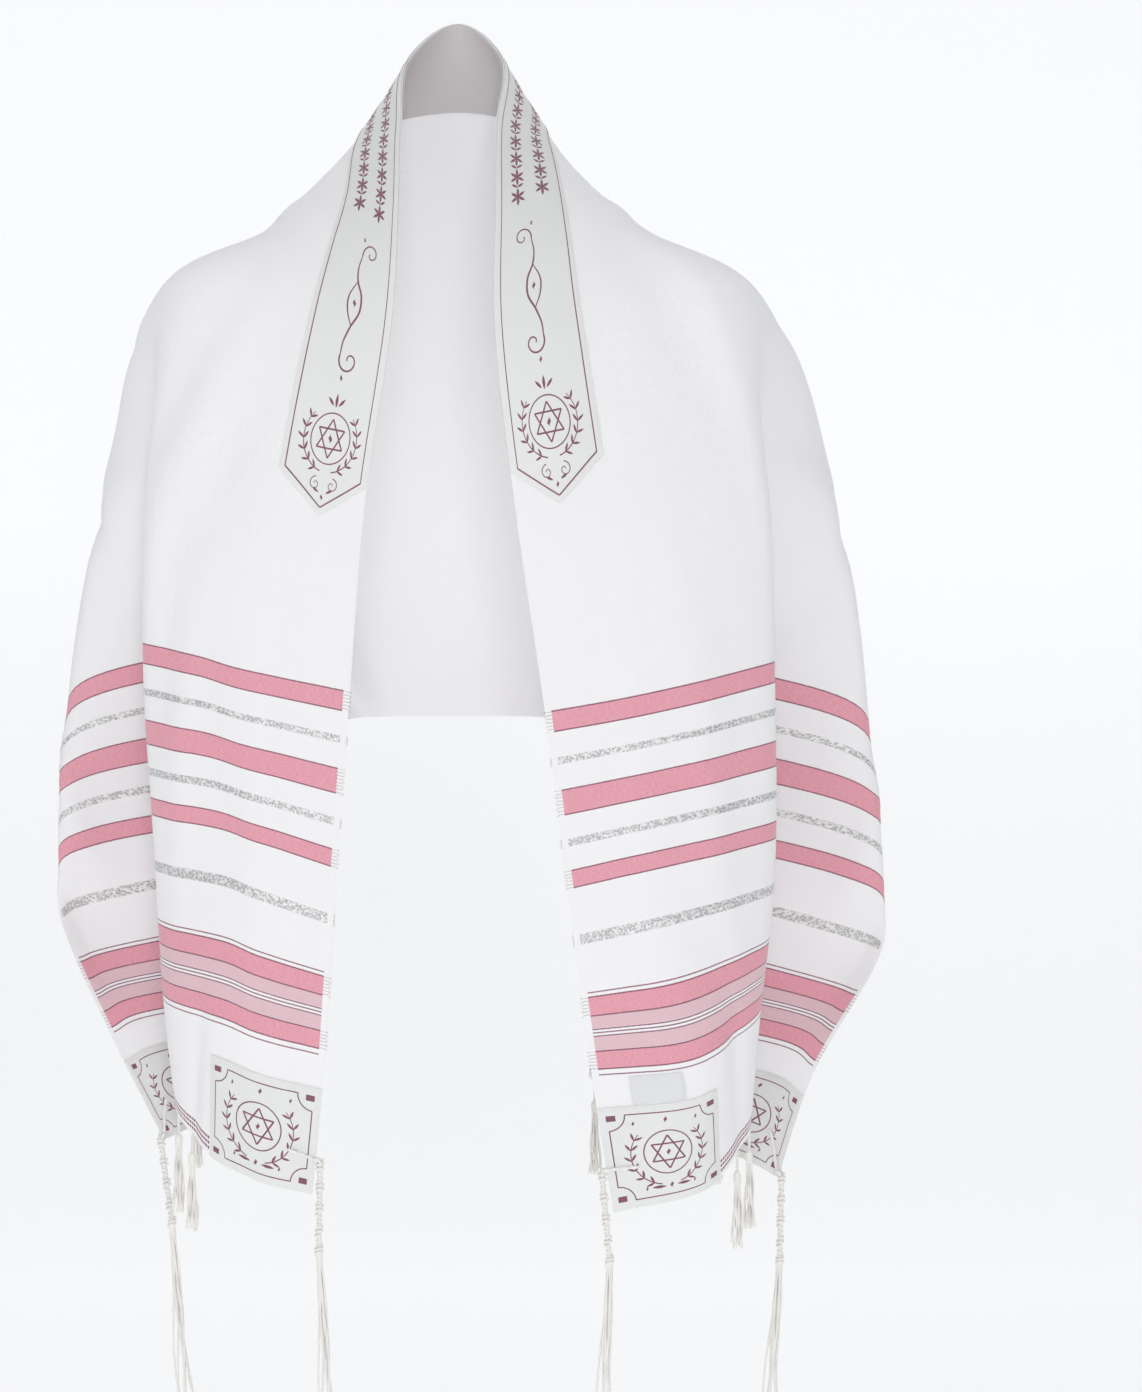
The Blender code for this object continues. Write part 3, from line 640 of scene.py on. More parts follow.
def panel(name, s, v, low, high, material, stands_for, lift=0.0):
    """A closed thin wall over the places s, v (two even tables), low to high."""
    rows, columns = s.shape
    outer = cloth_at(s, v, np.zeros_like(s) + high + lift).reshape(-1, 3)
    inner = cloth_at(s, v, np.full(s.shape, low)).reshape(-1, 3)
    count = rows * columns
    number = np.arange(count).reshape(rows, columns)
    a, b = number[:-1, :-1].ravel(), number[1:, :-1].ravel()
    c, d = number[1:, 1:].ravel(), number[:-1, 1:].ravel()
    faces = [*zip(a, b, c, d)]
    faces += [*zip(d + count, c + count, b + count, a + count)]
    border = (
        list(number[:, 0]) + list(number[-1, 1:]) + list(number[-2::-1, -1])
        + list(number[0, -2:0:-1])
    )
    for k, start in enumerate(border):
        end = border[(k + 1) % len(border)]
        faces.append((end, start, start + count, end + count))
    uvs = np.stack([s.ravel(), v.ravel()], axis=1)
    faces = [tuple(map(int, face)) for face in faces]
    return make_object(name, np.vstack([outer, inner]), faces, material, stands_for,
                       np.vstack([uvs, uvs]))


def even_table(s_low, s_high, v_low, v_high, s_step, v_step):
    rows = max(2, int(round((s_high - s_low) / s_step)) + 1)
    columns = max(2, int(round((v_high - v_low) / v_step)) + 1)
    return np.meshgrid(
        np.linspace(s_low, s_high, rows), np.linspace(v_low, v_high, columns),
        indexing="ij",
    )


class Nodes:
    """Short calls for building a material's node tree."""

    def __init__(self, name):
        self.material = bpy.data.materials.new(name)
        self.material.use_nodes = True
        self.tree = self.material.node_tree
        self.shader = self.tree.nodes["Principled BSDF"]

    def add(self, kind, **settings):
        node = self.tree.nodes.new(kind)
        for key, value in settings.items():
            setattr(node, key, value)
        return node

    def join(self, source, target):
        self.tree.links.new(source, target)

    def feed(self, socket, value):
        """Give a socket a number, a colour or another socket's value."""
        if isinstance(value, tuple):
            socket.default_value = (*value, 1.0)
        elif isinstance(value, (int, float)):
            socket.default_value = value
        elif value is not None:
            self.join(value, socket)

    def math(self, operation, first, second=None, third=None, clamp=False):
        node = self.add("ShaderNodeMath", operation=operation, use_clamp=clamp)
        for socket, value in zip(node.inputs, (first, second, third)):
            self.feed(socket, value)
        return node.outputs[0]

    def times(self, first, second, clamp=False):
        return self.math("MULTIPLY", first, second, clamp=clamp)

    def plus(self, first, second):
        return self.math("ADD", first, second)

    def minus(self, first, second):
        return self.math("SUBTRACT", first, second)

    def most(self, masks):
        whole = masks[0]
        for mask in masks[1:]:
            whole = self.math("MAXIMUM", whole, mask)
        return whole

    def mix(self, share, first, second):
        node = self.add("ShaderNodeMix", data_type="RGBA")
        for key, value in ((0, share), (6, first), (7, second)):
            self.feed(node.inputs[key], value)
        return node.outputs[2]

    def near(self, value, middle, half, soft=0.0002):
        """1 within half of the middle, and 0 outside, with a soft border."""
        away = self.math("ABSOLUTE", self.minus(value, middle))
        return self.math("DIVIDE", self.minus(half + soft, away), 2 * soft, clamp=True)

    def noise(self, texture, vector=None):
        node = self.add("ShaderNodeTexNoise")
        node.inputs["Scale"].default_value = texture.scale
        node.inputs["Detail"].default_value = texture.detail
        node.inputs["Roughness"].default_value = texture.roughness
        source = vector or self.add("ShaderNodeTexCoord").outputs["Object"]
        if texture.stretch is not None:
            mapping = self.add("ShaderNodeMapping")
            mapping.inputs["Scale"].default_value = texture.stretch
            self.join(source, mapping.inputs["Vector"])
            source = mapping.outputs["Vector"]
        self.join(source, node.inputs["Vector"])
        return node.outputs["Fac"]

    def cloth_axes(self):
        uv = self.add("ShaderNodeUVMap", uv_map="cloth_uv")
        parts = self.add("ShaderNodeSeparateXYZ")
        self.join(uv.outputs["UV"], parts.inputs["Vector"])
        return uv.outputs["UV"], parts.outputs["X"], parts.outputs["Y"]

    def wave(self, value, pitch):
        return self.math("SINE", self.times(value, 2 * math.pi / pitch))

    def weave(self, s, v, pitch):
        """Height of a plain weave: threads along s and v pass over each other."""
        return self.times(self.wave(v, pitch), self.wave(s, pitch))

    def bump(self, height, depth, normal=None):
        node = self.add("ShaderNodeBump")
        node.inputs["Strength"].default_value, node.inputs["Distance"].default_value = depth
        self.join(height, node.inputs["Height"])
        self.feed(node.inputs["Normal"], normal)
        return node.outputs["Normal"]

    def finish(self, colour, roughness, normal, sheen, metallic=None, through=0.0):
        """Sets the shader; through is how much light passes from face to face."""
        values = {
            "Subsurface Weight": through, "Base Color": colour, "Roughness": roughness,
            "Sheen Weight": sheen, "Sheen Roughness": SHEEN_ROUGHNESS,
            "Subsurface Scale": LIGHT_REACH, "Metallic": metallic, "Normal": normal,
        }
        for key, value in values.items():
            self.feed(self.shader.inputs[key], value)
        self.shader.inputs["Subsurface Radius"].default_value = (1.0, 1.0, 1.0)
        return self.material


def cloth_material():
    nodes = Nodes("woven_cloth")
    uv, s, v = nodes.cloth_axes()
    jitter = nodes.times(nodes.minus(nodes.noise(RAGGED, uv), 0.5), RAGGED_REACH)
    end = nodes.minus(HALF, nodes.math("ABSOLUTE", s))
    end = nodes.plus(end, jitter)

    pink = nodes.most([nodes.near(end, *row) for row in PINK_STRIPES])
    pale = nodes.most([nodes.near(end, *row) for row in PALE_STRIPES])
    silver = nodes.most([nodes.near(end, *row, SILVER_SOFT) for row in SILVER_STRIPES])
    lines = [nodes.near(end, place, PLUM_LINE_HALF) for place in PLUM_LINES]
    for middle, half in PINK_STRIPES:
        for place in (middle - half, middle + half):
            lines.append(nodes.near(end, place, OUTLINE_HALF))
    plum = nodes.most(lines)
    edge = nodes.math("MINIMUM", v, nodes.minus(SHAWL_WIDTH, v))
    inside = nodes.minus(nodes.plus(edge, jitter), SELVEDGE)
    inside = nodes.math("DIVIDE", inside, SELVEDGE_SOFT, clamp=True)
    ticks = nodes.math("GREATER_THAN", nodes.wave(end, TICK_PITCH), TICK_LEVEL)
    hem = nodes.most([nodes.near(end, place, HEM_LINE_HALF) for place in HEM_LINES])
    dash = nodes.math("GREATER_THAN", nodes.wave(v, DASH_PITCH), DASH_LEVEL)
    hem = nodes.times(hem, dash)

    tone = nodes.math("MULTIPLY_ADD", nodes.noise(PINK_GRAIN, uv), *PINK_CONTRAST, clamp=True)
    pink_colour = nodes.mix(tone, PINK_DEEP, PINK_LIGHT)
    # Painted glints: a fine speckle of light and dark in the silver stripes for the metal
    # yarn's reflections; the same speckle also roughens their relief
    glint_cells = nodes.add("ShaderNodeTexVoronoi")
    glint_cells.inputs["Scale"].default_value = GLINT_SCALE
    nodes.join(uv, glint_cells.inputs["Vector"])
    glint_speckle = nodes.times(glint_cells.outputs["Distance"], GLINT_GAIN, clamp=True)
    silver_glint_colour = nodes.mix(glint_speckle, SILVER_GLINT_DARK, SILVER_GLINT_LIGHT)
    pale_colour = nodes.mix(nodes.noise(PALE_GRAIN, uv), PALE_DEEP, PALE_LIGHT)

    silver = nodes.times(silver, inside)
    colour = nodes.mix(nodes.noise(WHITE_CLOUD), WHITE_SHADE, WHITE)
    colour = nodes.mix(nodes.times(pale, inside), colour, pale_colour)
    colour = nodes.mix(nodes.times(pink, inside), colour, pink_colour)
    colour = nodes.mix(silver, colour, silver_glint_colour)
    colour = nodes.mix(nodes.times(plum, inside), colour, PLUM)
    band = nodes.math("MAXIMUM", pink, silver)
    margin = nodes.times(nodes.minus(1.0, inside), band)
    tick_share = nodes.times(nodes.times(margin, ticks), TICK_SHADE)
    colour = nodes.mix(tick_share, colour, PLUM)
    colour = nodes.mix(nodes.times(hem, inside), colour, PLUM)

    coloured = nodes.math("MAXIMUM", pink, pale)
    twill = nodes.wave(nodes.plus(s, v), TWILL_PITCH)
    height = nodes.plus(nodes.weave(s, v, WEAVE_PITCH), nodes.times(twill, coloured))
    height = nodes.plus(height, nodes.times(glint_speckle, silver))
    normal = nodes.bump(height, WEAVE_BUMP)
    normal = nodes.bump(nodes.noise(SLUB, uv), SLUB_BUMP, normal)
    normal = nodes.bump(nodes.noise(CRUMPLE), CRUMPLE_BUMP, normal)
    roughness = nodes.math("MULTIPLY_ADD", silver, SILVER_SMOOTHER, CLOTH_ROUGHNESS)
    metallic = nodes.times(silver, SILVER_METAL)
    return nodes.finish(colour, roughness, normal, CLOTH_SHEEN, metallic, CLOTH_THROUGH)


def blend(nodes, first, second, share):
    """Two textures added together, the first with this share."""
    return nodes.math("MULTIPLY_ADD", first, share, nodes.times(second, 1.0 - share))


def satin_material(name, colour, darker, pitch):
    nodes = Nodes(name)
    uv, s, v = nodes.cloth_axes()
    floats = nodes.noise(SATIN_FLOATS, uv)
    share = blend(nodes, floats, nodes.noise(SATIN_CLOUD), 0.6)
    tone = nodes.mix(share, darker, colour)
    normal = nodes.bump(nodes.plus(nodes.weave(s, v, pitch), floats), SATIN_BUMP)
    rough = nodes.math("MULTIPLY_ADD", floats, *SATIN_ROUGHNESS)
    return nodes.finish(tone, rough, normal, SATIN_SHEEN)


def thread_material(name, colour, darker):
    nodes = Nodes(name)
    fibre = nodes.noise(FIBRE)
    share = blend(nodes, fibre, nodes.noise(FIBRE_CLOUD), 0.7)
    tone = nodes.mix(share, darker, colour)
    return nodes.finish(tone, THREAD_ROUGHNESS, nodes.bump(fibre, FIBRE_BUMP), THREAD_SHEEN)


def edge_drop(near, round_off):
    """The small drop of a panel's outer face within round_off of its edges."""
    return -EDGE_DROP * (1.0 - np.clip(near / round_off, 0.0, 1.0)) ** 2


def pillow(s, v, s_low, s_high, v_low, v_high, round_off):
    near_s = np.minimum(s - s_low, s_high - s)
    near_v = np.minimum(v - v_low, v_high - v)
    return edge_drop(np.minimum(near_s, near_v), round_off)


def build_shawl(material):
    s, v = even_table(-HALF, HALF, 0.0, SHAWL_WIDTH, SHELL_STEP_S, SHELL_STEP_V)
    return panel("shawl_cloth", s, v, -SHELL_HALF_WALL, SHELL_HALF_WALL, material,
                 "shawl")


def band_reach(side):
    return BAND_SHOULDERS[side] + BAND_POINT


def build_neckband(satin):
    share, v = even_table(-1.0, 1.0, 0.0, BAND_WIDTH, 1.0 / BAND_CELLS, BAND_STEP)
    reach = np.where(share < 0, band_reach(-1), band_reach(1))
    s_end = reach - BAND_POINT * np.abs(v - BAND_WIDTH / 2) / (BAND_WIDTH / 2)
    near = np.minimum(np.minimum(v, BAND_WIDTH - v), (1.0 - np.abs(share)) * reach)
    return panel("neckband_satin", share * s_end, v, TRIM_SEAT, TRIM_TOP, satin,
                 "neckband", edge_drop(near, EDGE_ROUND))


# The strip inside the nape, in the darker satin that is painted shade there
def build_facing(satin):
    s, v = even_table(*FACING_ENDS, 0.0, BAND_WIDTH, BAND_STEP, BAND_STEP)
    return panel("neck_facing_shaded_satin", s, v, -TRIM_TOP, -TRIM_SEAT, satin,
                 "neck_facing")


def side_name(side):
    return "right" if side > 0 else "left"


def patch_name(side, place):
    return f"patch_{side_name(side)}_{place}"


def patch_span(place):
    if place == "front":
        return 0.0, PATCH_WIDTH
    return SHAWL_WIDTH - PATCH_WIDTH, SHAWL_WIDTH


def build_patch(side, place, satin):
    s_span = (PATCH_START, HALF) if side > 0 else (-HALF, -PATCH_START)
    spans = (*s_span, *patch_span(place))
    s, v = even_table(*spans, PATCH_STEP, PATCH_STEP)
    name = patch_name(side, place)
    return panel(name + "_satin", s, v, TRIM_SEAT, TRIM_TOP, satin, name,
                 pillow(s, v, *spans, EDGE_ROUND))


def round_spots(a, b, radius, turn):
    return np.stack([a + radius * np.cos(turn), b + radius * np.sin(turn)], axis=1)


class Embroidery:
    """Raised satin-stitch lines laid on a panel, gathered into one mesh.

    place turns flat drawing coordinates, a across and b up, into s and v on the cloth.
    """

    def __init__(self, place, seat=TRIM_TOP):
        self.place = place
        self.seat = seat
        self.verts = []
        self.faces = []

    def line(self, points, width, closed=False, crest=ORNAMENT_CREST):
        """A raised line through flat points; width is one number or one each."""
        points = np.asarray(points, float)
        count = len(points)
        widths = np.broadcast_to(np.asarray(width, float), (count,))
        if closed:
            travel = np.roll(points, -1, axis=0) - np.roll(points, 1, axis=0)
        else:
            travel = np.gradient(points, axis=0)
        travel /= np.maximum(np.linalg.norm(travel, axis=1, keepdims=True), 1e-9)
        beside = np.stack([-travel[:, 1], travel[:, 0]], axis=1) * widths[:, None] / 2
        start = len(self.verts)
        for shift, height in ((-1, -ORNAMENT_SINK), (0, crest), (1, -ORNAMENT_SINK)):
            s, v = self.place(*(points + shift * beside).T)
            placed = cloth_at(s, v, np.full(count, self.seat + height))
            self.verts.extend(map(tuple, placed))
        for k in range(count if closed else count - 1):
            for lane in (0, 1):
                a = start + lane * count + k
                b = start + lane * count + (k + 1) % count
                self.faces.append((a, b, b + count, a + count))

    def straight(self, first, last, count, width, crest=ORNAMENT_CREST):
        self.line(np.linspace(first, last, count), width, crest=crest)

    def leaf(self, a, b, angle, length, width):
        t = np.linspace(0, 1, LEAF_SPOTS)
        swell = np.sin(np.pi * np.clip(t, 0.02, 0.98)) ** 0.8
        self.line(round_spots(a, b, t * length, np.full(LEAF_SPOTS, angle)), width * swell)

    def diamond(self, a, b, size):
        line = [(a, b - size / 2), (a, b), (a, b + size / 2)]
        self.line(line, np.array([0.02, 1.0, 0.02]) * size * 0.8)

    def block(self, a, b, size):
        self.line([(a - size / 2, b), (a, b), (a + size / 2, b)], size)

    def circle(self, a, b, radius, width):
        turn = np.linspace(0, 2 * math.pi, 40, endpoint=False)
        self.line(round_spots(a, b, radius, turn), width, closed=True)

    def star(self, a, b, radius, width):
        for start in (math.pi / 2, -math.pi / 2):
            corners = round_spots(a, b, radius, start + np.arange(4) * 2 * math.pi / 3)
            for first, second in zip(corners[:-1], corners[1:]):
                self.straight(first, second, 8, width)

    def spiral(self, a, b, radius, start, turns, width, mirror=1, count=26):
        """A curl that winds in to its middle at a, b."""
        t = np.linspace(0, 1, count)
        turn = start + mirror * t * turns * 2 * math.pi
        self.line(round_spots(a, b, radius * (1 - 0.86 * t), turn), width * (1 - 0.3 * t))

    def spray(self, a, b, mirror, reach, width):
        """A bent stem with leaves on both sides."""
        turn = np.linspace(*SPRAY_BEND, SPRAY_SPOTS)
        stem = round_spots(0.0, b, reach, turn)
        stem[:, 0] = a + mirror * stem[:, 0]
        self.line(stem, width * np.linspace(1.0, 0.6, SPRAY_SPOTS))
        for k in range(2, SPRAY_SPOTS - 1, 3):
            travel = stem[k] - stem[k - 1]
            heading = math.atan2(travel[1], travel[0])
            for lean in (SPRAY_LEAN, -SPRAY_LEAN):
                self.leaf(*stem[k], heading + lean, reach * SPRAY_LEAF_LENGTH,
                          reach * SPRAY_LEAF_WIDTH)

    def build(self, name, material, slot="band_satin"):
        return make_object(name, self.verts, self.faces, material)


def band_place(side):
    """a is across the band from its middle, away from the neck, b is up from its point."""
    return lambda a, b: (side * (band_reach(side) - b), BAND_WIDTH / 2 + a)


def band_ornament(side, plum):
    """Border, ringed star, scroll and two columns of flowers on one half of the band."""
    work = Embroidery(band_place(side))
    reach = band_reach(side)
    slope = BAND_POINT / (BAND_WIDTH / 2)
    for edge in BAND_BORDERS:
        corner = (edge, BAND_TIP + slope * abs(edge))
        work.straight((0.0, BAND_TIP), corner, 24, BORDER_WIDTH, 2 * ORNAMENT_CREST)
        work.straight(corner, (edge, reach), 130, BAND_BORDER_WIDTH)
    middle = BAND_STAR_RISE
    work.circle(0.0, middle, 0.016, 0.0013)
    work.star(0.0, middle, 0.0122, 0.0017)
    work.diamond(0.0, middle, 0.0055)
    up = math.pi / 2
    for mirror in (-1, 1):
        work.spray(0.0, middle, mirror, 0.0215, 0.0013)
        work.spiral(mirror * 0.0068, 0.0205, 0.0048, up, 1.25, 0.0011, -mirror)
        work.leaf(mirror * 0.003, 0.015, up - mirror * 1.1, 0.006, 0.0026)
        work.leaf(mirror * 0.002, middle + 0.0205, up - mirror * 0.8, 0.007, 0.003)
    work.leaf(0.0, middle + 0.0195, up, 0.0085, 0.0034)
    work.diamond(0.0, 0.012, 0.004)
    scroll(work, SCROLL_RISE)
    work.diamond(0.0, 0.088, 0.0042)
    work.diamond(0.0, 0.1885, 0.0042)
    for column, shift in FLOWER_COLUMNS:
        flower_column(work, column, FLOWERS_RISE + shift, reach - FLOWERS_GAP)
    return work.build(f"neckband_ornament_{side_name(side)}", plum)


def scroll(work, middle):
    """A long S with curled ends and a leaf-shaped eye half way."""
    for spots, width in ((SCROLL_STEM, 0.0022), (SCROLL_EYE, 0.0017)):
        path = smooth_path([(a, middle + b, 0.0) for a, b in spots], 8)
        swell = 0.65 + 0.5 * np.sin(np.pi * np.linspace(0, 1, len(path)))
        work.line([(spot.x, spot.y) for spot in path], width * swell)
    work.spiral(-0.0036, middle - 0.039, 0.0088, 0.35, 1.1, 0.002, -1, 40)
    work.spiral(-0.009, middle + 0.039, 0.0088, -0.22, 1.1, 0.002, 1, 40)
    work.diamond(0.0, middle, 0.0056)


def flower_column(work, column, low, high):
    """A column of small flowers with a pair of leaves above each."""
    for k in range(int((high - low) / FLOWER_PITCH)):
        b = low + (k + 0.5) * FLOWER_PITCH
        for petal in range(6):
            work.leaf(column, b, math.pi / 6 + petal * math.pi / 3, 0.008, 0.0042)
        for mirror in (-1, 1):
            work.leaf(column, b + 0.0088, math.pi / 2 - mirror * 1.1, 0.007, 0.0036)


def patch_place(side, place):
    """a is across the patch from its middle, b is up from the short end."""
    middle_v = sum(patch_span(place)) / 2
    return lambda a, b: (side * (HALF - b), middle_v + a * side)


def patch_ornament(side, place, plum):
    """Frame with hollowed corners, corner squares, star in a ring and leaf sprays."""
    work = Embroidery(patch_place(side, place))
    notch = PATCH_NOTCH
    half = PATCH_WIDTH / 2 - PATCH_MARGIN
    low, high = PATCH_MARGIN, PATCH_LENGTH - PATCH_MARGIN
    middle = (low + high) / 2
    for mirror in (-1, 1):
        edge = mirror * half
        work.straight((edge, low + notch), (edge, high - notch), 20, BORDER_WIDTH)
        for b, rise in ((low, 1), (high, -1)):
            turn = np.linspace(0, math.pi / 2, 12)
            hollow = round_spots(-half, 0.0, notch, turn) * (-mirror, rise) + (0.0, b)
            work.line(hollow, BORDER_WIDTH)
            work.block(mirror * (half - 0.002), b + rise * 0.002, 0.0062)
    for b in (low, high):
        work.straight((notch - half, b), (half - notch, b), 24, BORDER_WIDTH)
    star_b = middle + 0.001
    work.circle(0.0, star_b, 0.0165, 0.0014)
    work.star(0.0, star_b, 0.0128, 0.0018)
    work.diamond(0.0, star_b, 0.005)
    for mirror in (-1, 1):
        work.spray(mirror * 0.0015, middle, mirror, 0.0235, 0.0014)
        work.leaf(mirror * 0.004, low + 0.0066, (1 - mirror) * math.pi / 2, 0.0095, 0.0034)
        work.diamond(mirror * 0.017, low + 0.0066, 0.0032)
        work.diamond(mirror * 0.021, high - 0.007, 0.0035)
    work.diamond(0.0, low + 0.007, 0.0045)
    work.diamond(0.0, high - 0.0055, 0.0045)
    return work.build(patch_name(side, place) + "_ornament", plum)


def stitches(name, routes, seat, material):
    """Short raised stitches along routes of s and v."""
    work = Embroidery(lambda a, b: (a, b), seat)
    for route in routes:
        route = np.asarray(route, float)
        steps = np.linalg.norm(np.diff(route, axis=0), axis=1)
        run = np.concatenate([[0.0], np.cumsum(steps)])
        for k in range(int(run[-1] / STITCH_PITCH)):
            at = np.linspace((k + 0.18) * STITCH_PITCH, (k + 0.82) * STITCH_PITCH, 4)
            spots = np.stack([np.interp(at, run, route[:, c]) for c in (0, 1)], axis=1)
            work.line(spots, STITCH_WIDTH * np.array([0.4, 1.0, 1.0, 0.4]),
                      crest=STITCH_CREST)
    return work.build(name, material, "thread")


def band_stitches(material):
    low, high = STITCH_INSET, BAND_WIDTH - STITCH_INSET
    ends = -BAND_SHOULDERS[-1], BAND_SHOULDERS[1]
    routes = [np.linspace((ends[0], v), (ends[1], v), 300) for v in (low, high)]
    for side in (-1, 1):
        tip = (side * (band_reach(side) - STITCH_INSET * 1.3), BAND_WIDTH / 2)
        shoulder = side * BAND_SHOULDERS[side]
        routes += [[(shoulder, low), tip], [tip, (shoulder, high)]]
    return stitches("neckband_stitches", routes, TRIM_TOP - STITCH_SINK, material)


def patch_stitches(side, place, material):
    v_low, v_high = patch_span(place)
    near, far = side * (PATCH_START + STITCH_INSET), side * (HALF - STITCH_INSET)
    low, high = v_low + STITCH_INSET, v_high - STITCH_INSET
    corners = [(near, low), (far, low), (far, high), (near, high), (near, low)]
    return stitches(patch_name(side, place) + "_stitches", zip(corners, corners[1:]),
                    TRIM_TOP - STITCH_SINK, material)


# The tape's grey is painted shade for the label's curled ends
def build_label(material, stitch_material):
    span = (LABEL_START, LABEL_END, *LABEL_V)
    s, v = even_table(*span, LABEL_STEP, LABEL_STEP)
    lift = pillow(s, v, *span, LABEL_ROUND)
    lift += LABEL_SWELL * np.sin(np.pi * (s - LABEL_START) / LABEL_HEIGHT) ** 2
    label = panel("label_tab_tape", s, v, TRIM_SEAT, TRIM_TOP, material,
                  "label_tab", lift)
    ends = LABEL_START + LABEL_STITCH_END, LABEL_END - LABEL_STITCH_END
    routes = [[(ends[0], place), (ends[1], place)]
              for place in (LABEL_V[0] + LABEL_STITCH_INSET, LABEL_V[1] - LABEL_STITCH_INSET)]
    return label, stitches("label_tab_stitches", routes, TRIM_TOP, stitch_material)


def smooth_path(points, between):
    """Extra places on a smooth curve through the points."""
    knots = np.arange(len(points), dtype=float)
    at = np.linspace(0, len(points) - 1, (len(points) - 1) * between + 1)
    columns_xyz = [spline(knots, [p[c] for p in points], at) for c in range(3)]
    return [Vector(row) for row in zip(*columns_xyz)]


def down(distance):
    return Vector((0.0, 0.0, -distance))


def ring_point(turn, radius, z=0.0):
    return Vector((math.cos(turn) * radius, math.sin(turn) * radius, z))


class Threads:
    """Round threads, gathered into one mesh."""

    def __init__(self):
        self.verts = []
        self.faces = []

    def tube(self, path, radii, sides, twist=0.0, lobes=0, depth=0.0):
        """A closed round tube along a path; lobes make it look plied."""
        start = len(self.verts)
        beside = None
        for k, place in enumerate(path):
            travel = (path[min(k + 1, len(path) - 1)] - path[max(k - 1, 0)]).normalized()
            if beside is None:
                beside = travel.cross(TUBE_UP.normalized()).normalized()
            beside = (beside - travel * beside.dot(travel)).normalized()
            other = travel.cross(beside)
            for j in range(sides):
                turn = 2 * math.pi * j / sides
                size = radii[k] * (1.0 + depth * math.cos(lobes * turn + twist * k))
                rim = beside * math.cos(turn) + other * math.sin(turn)
                self.verts.append(tuple(place + rim * size))
        for k in range(len(path) - 1):
            for j in range(sides):
                a, b = start + k * sides + j, start + k * sides + (j + 1) % sides
                self.faces.append((a, b, b + sides, a + sides))
        self.faces.append(tuple(range(start + sides - 1, start - 1, -1)))
        last = start + (len(path) - 1) * sides
        self.faces.append(tuple(range(last, last + sides)))

    def wind(self, top, bottom, winding, phase):
        """A thread wound round an upright stem."""
        count = max(8, int(winding.turns * 12))
        path = []
        for k in range(count + 1):
            turn = phase + 2 * math.pi * winding.turns * k / count
            lean = winding.tilt * winding.radius * math.cos(turn)
            path.append(top.lerp(bottom, k / count) + ring_point(turn, winding.radius, lean))
        self.tube(path, [winding.thick] * (count + 1), winding.sides)

    def strand(self, top, tip, sway, phase, radii, sides, twist):
        """A plied strand that hangs with a slight wave."""
        path = []
        for k in range(len(radii)):
            share = k / (len(radii) - 1)
            place = top.lerp(tip, share)
            place.x += sway * math.sin(phase + STRAND_WAVES[0] * share) * share
            place.y += sway * math.cos(phase * 1.7 + STRAND_WAVES[1] * share) * share
            path.append(place)
        self.tube(path, radii, sides, twist, 2, PLY_DEPTH)

    def build(self, name, material, stands_for=None):
        return make_object(name, self.verts, self.faces, material, stands_for)


def selvedge_ticks(material):
    """Cut ends of the stripe yarns that stand out past the front edges."""
    work = Threads()
    for side in (-1, 1):
        for middle, half in PINK_STRIPES + SILVER_STRIPES:
            for place in np.linspace(middle - half, middle + half, 5):
                s = side * (HALF - place)
                base = cloth_at([s, s], [0.0004, 0.006], [0.0, 0.0])
                out = base[0] - base[1]
                out /= np.linalg.norm(out)
                droop = down(YARN_END_DROOP * (1 + math.sin(place * 7000.0)))
                near, far = (Vector(base[0] + out * reach) for reach in YARN_END_REACH)
                work.tube([Vector(base[0]), near, far + droop], YARN_END_RADII, 5)
    return work.build("edge_yarn_ends", material)


def tie_over_edge(work, row):
    """The cords in front and behind, from the eyelet over the edge; gives their end."""
    outer = row.place == "outer"
    hole_v = SHAWL_WIDTH - row.v_hole if outer else row.v_hole
    edge_v = SHAWL_WIDTH if outer else 0.0
    hole_s = row.side * (HALF - row.up_hole)
    edge_s = row.side * (HALF - row.up_edge)
    spots_s = np.linspace(hole_s, edge_s, 7)
    spots_v = np.linspace(hole_v, edge_v, 7)
    for sign, off in ((1, TRIM_TOP + CORD_LIFT), (-1, CORD_LIFT_BEHIND)):
        base = [Vector(p) for p in cloth_at(spots_s, spots_v, [sign * off] * 7)]
        inside = Vector(cloth_at([hole_s], [hole_v], [sign * TRIM_TOP * CORD_SEAT])[0])
        out = base[-1] - base[0]
        out.z = 0.0
        out.normalize()
        clear = base[-1] + out * CORD_CLEAR
        edge = Vector(cloth_at([edge_s], [edge_v], [0.0])[0]) + out * CORD_EDGE
        path = smooth_path([inside] + base + [clear, edge + down(CORD_DROP)], 4)
        work.tube(path, [CORD_RADIUS] * len(path), 8, 0.9, 2, CORD_PLY_DEPTH)
    return edge


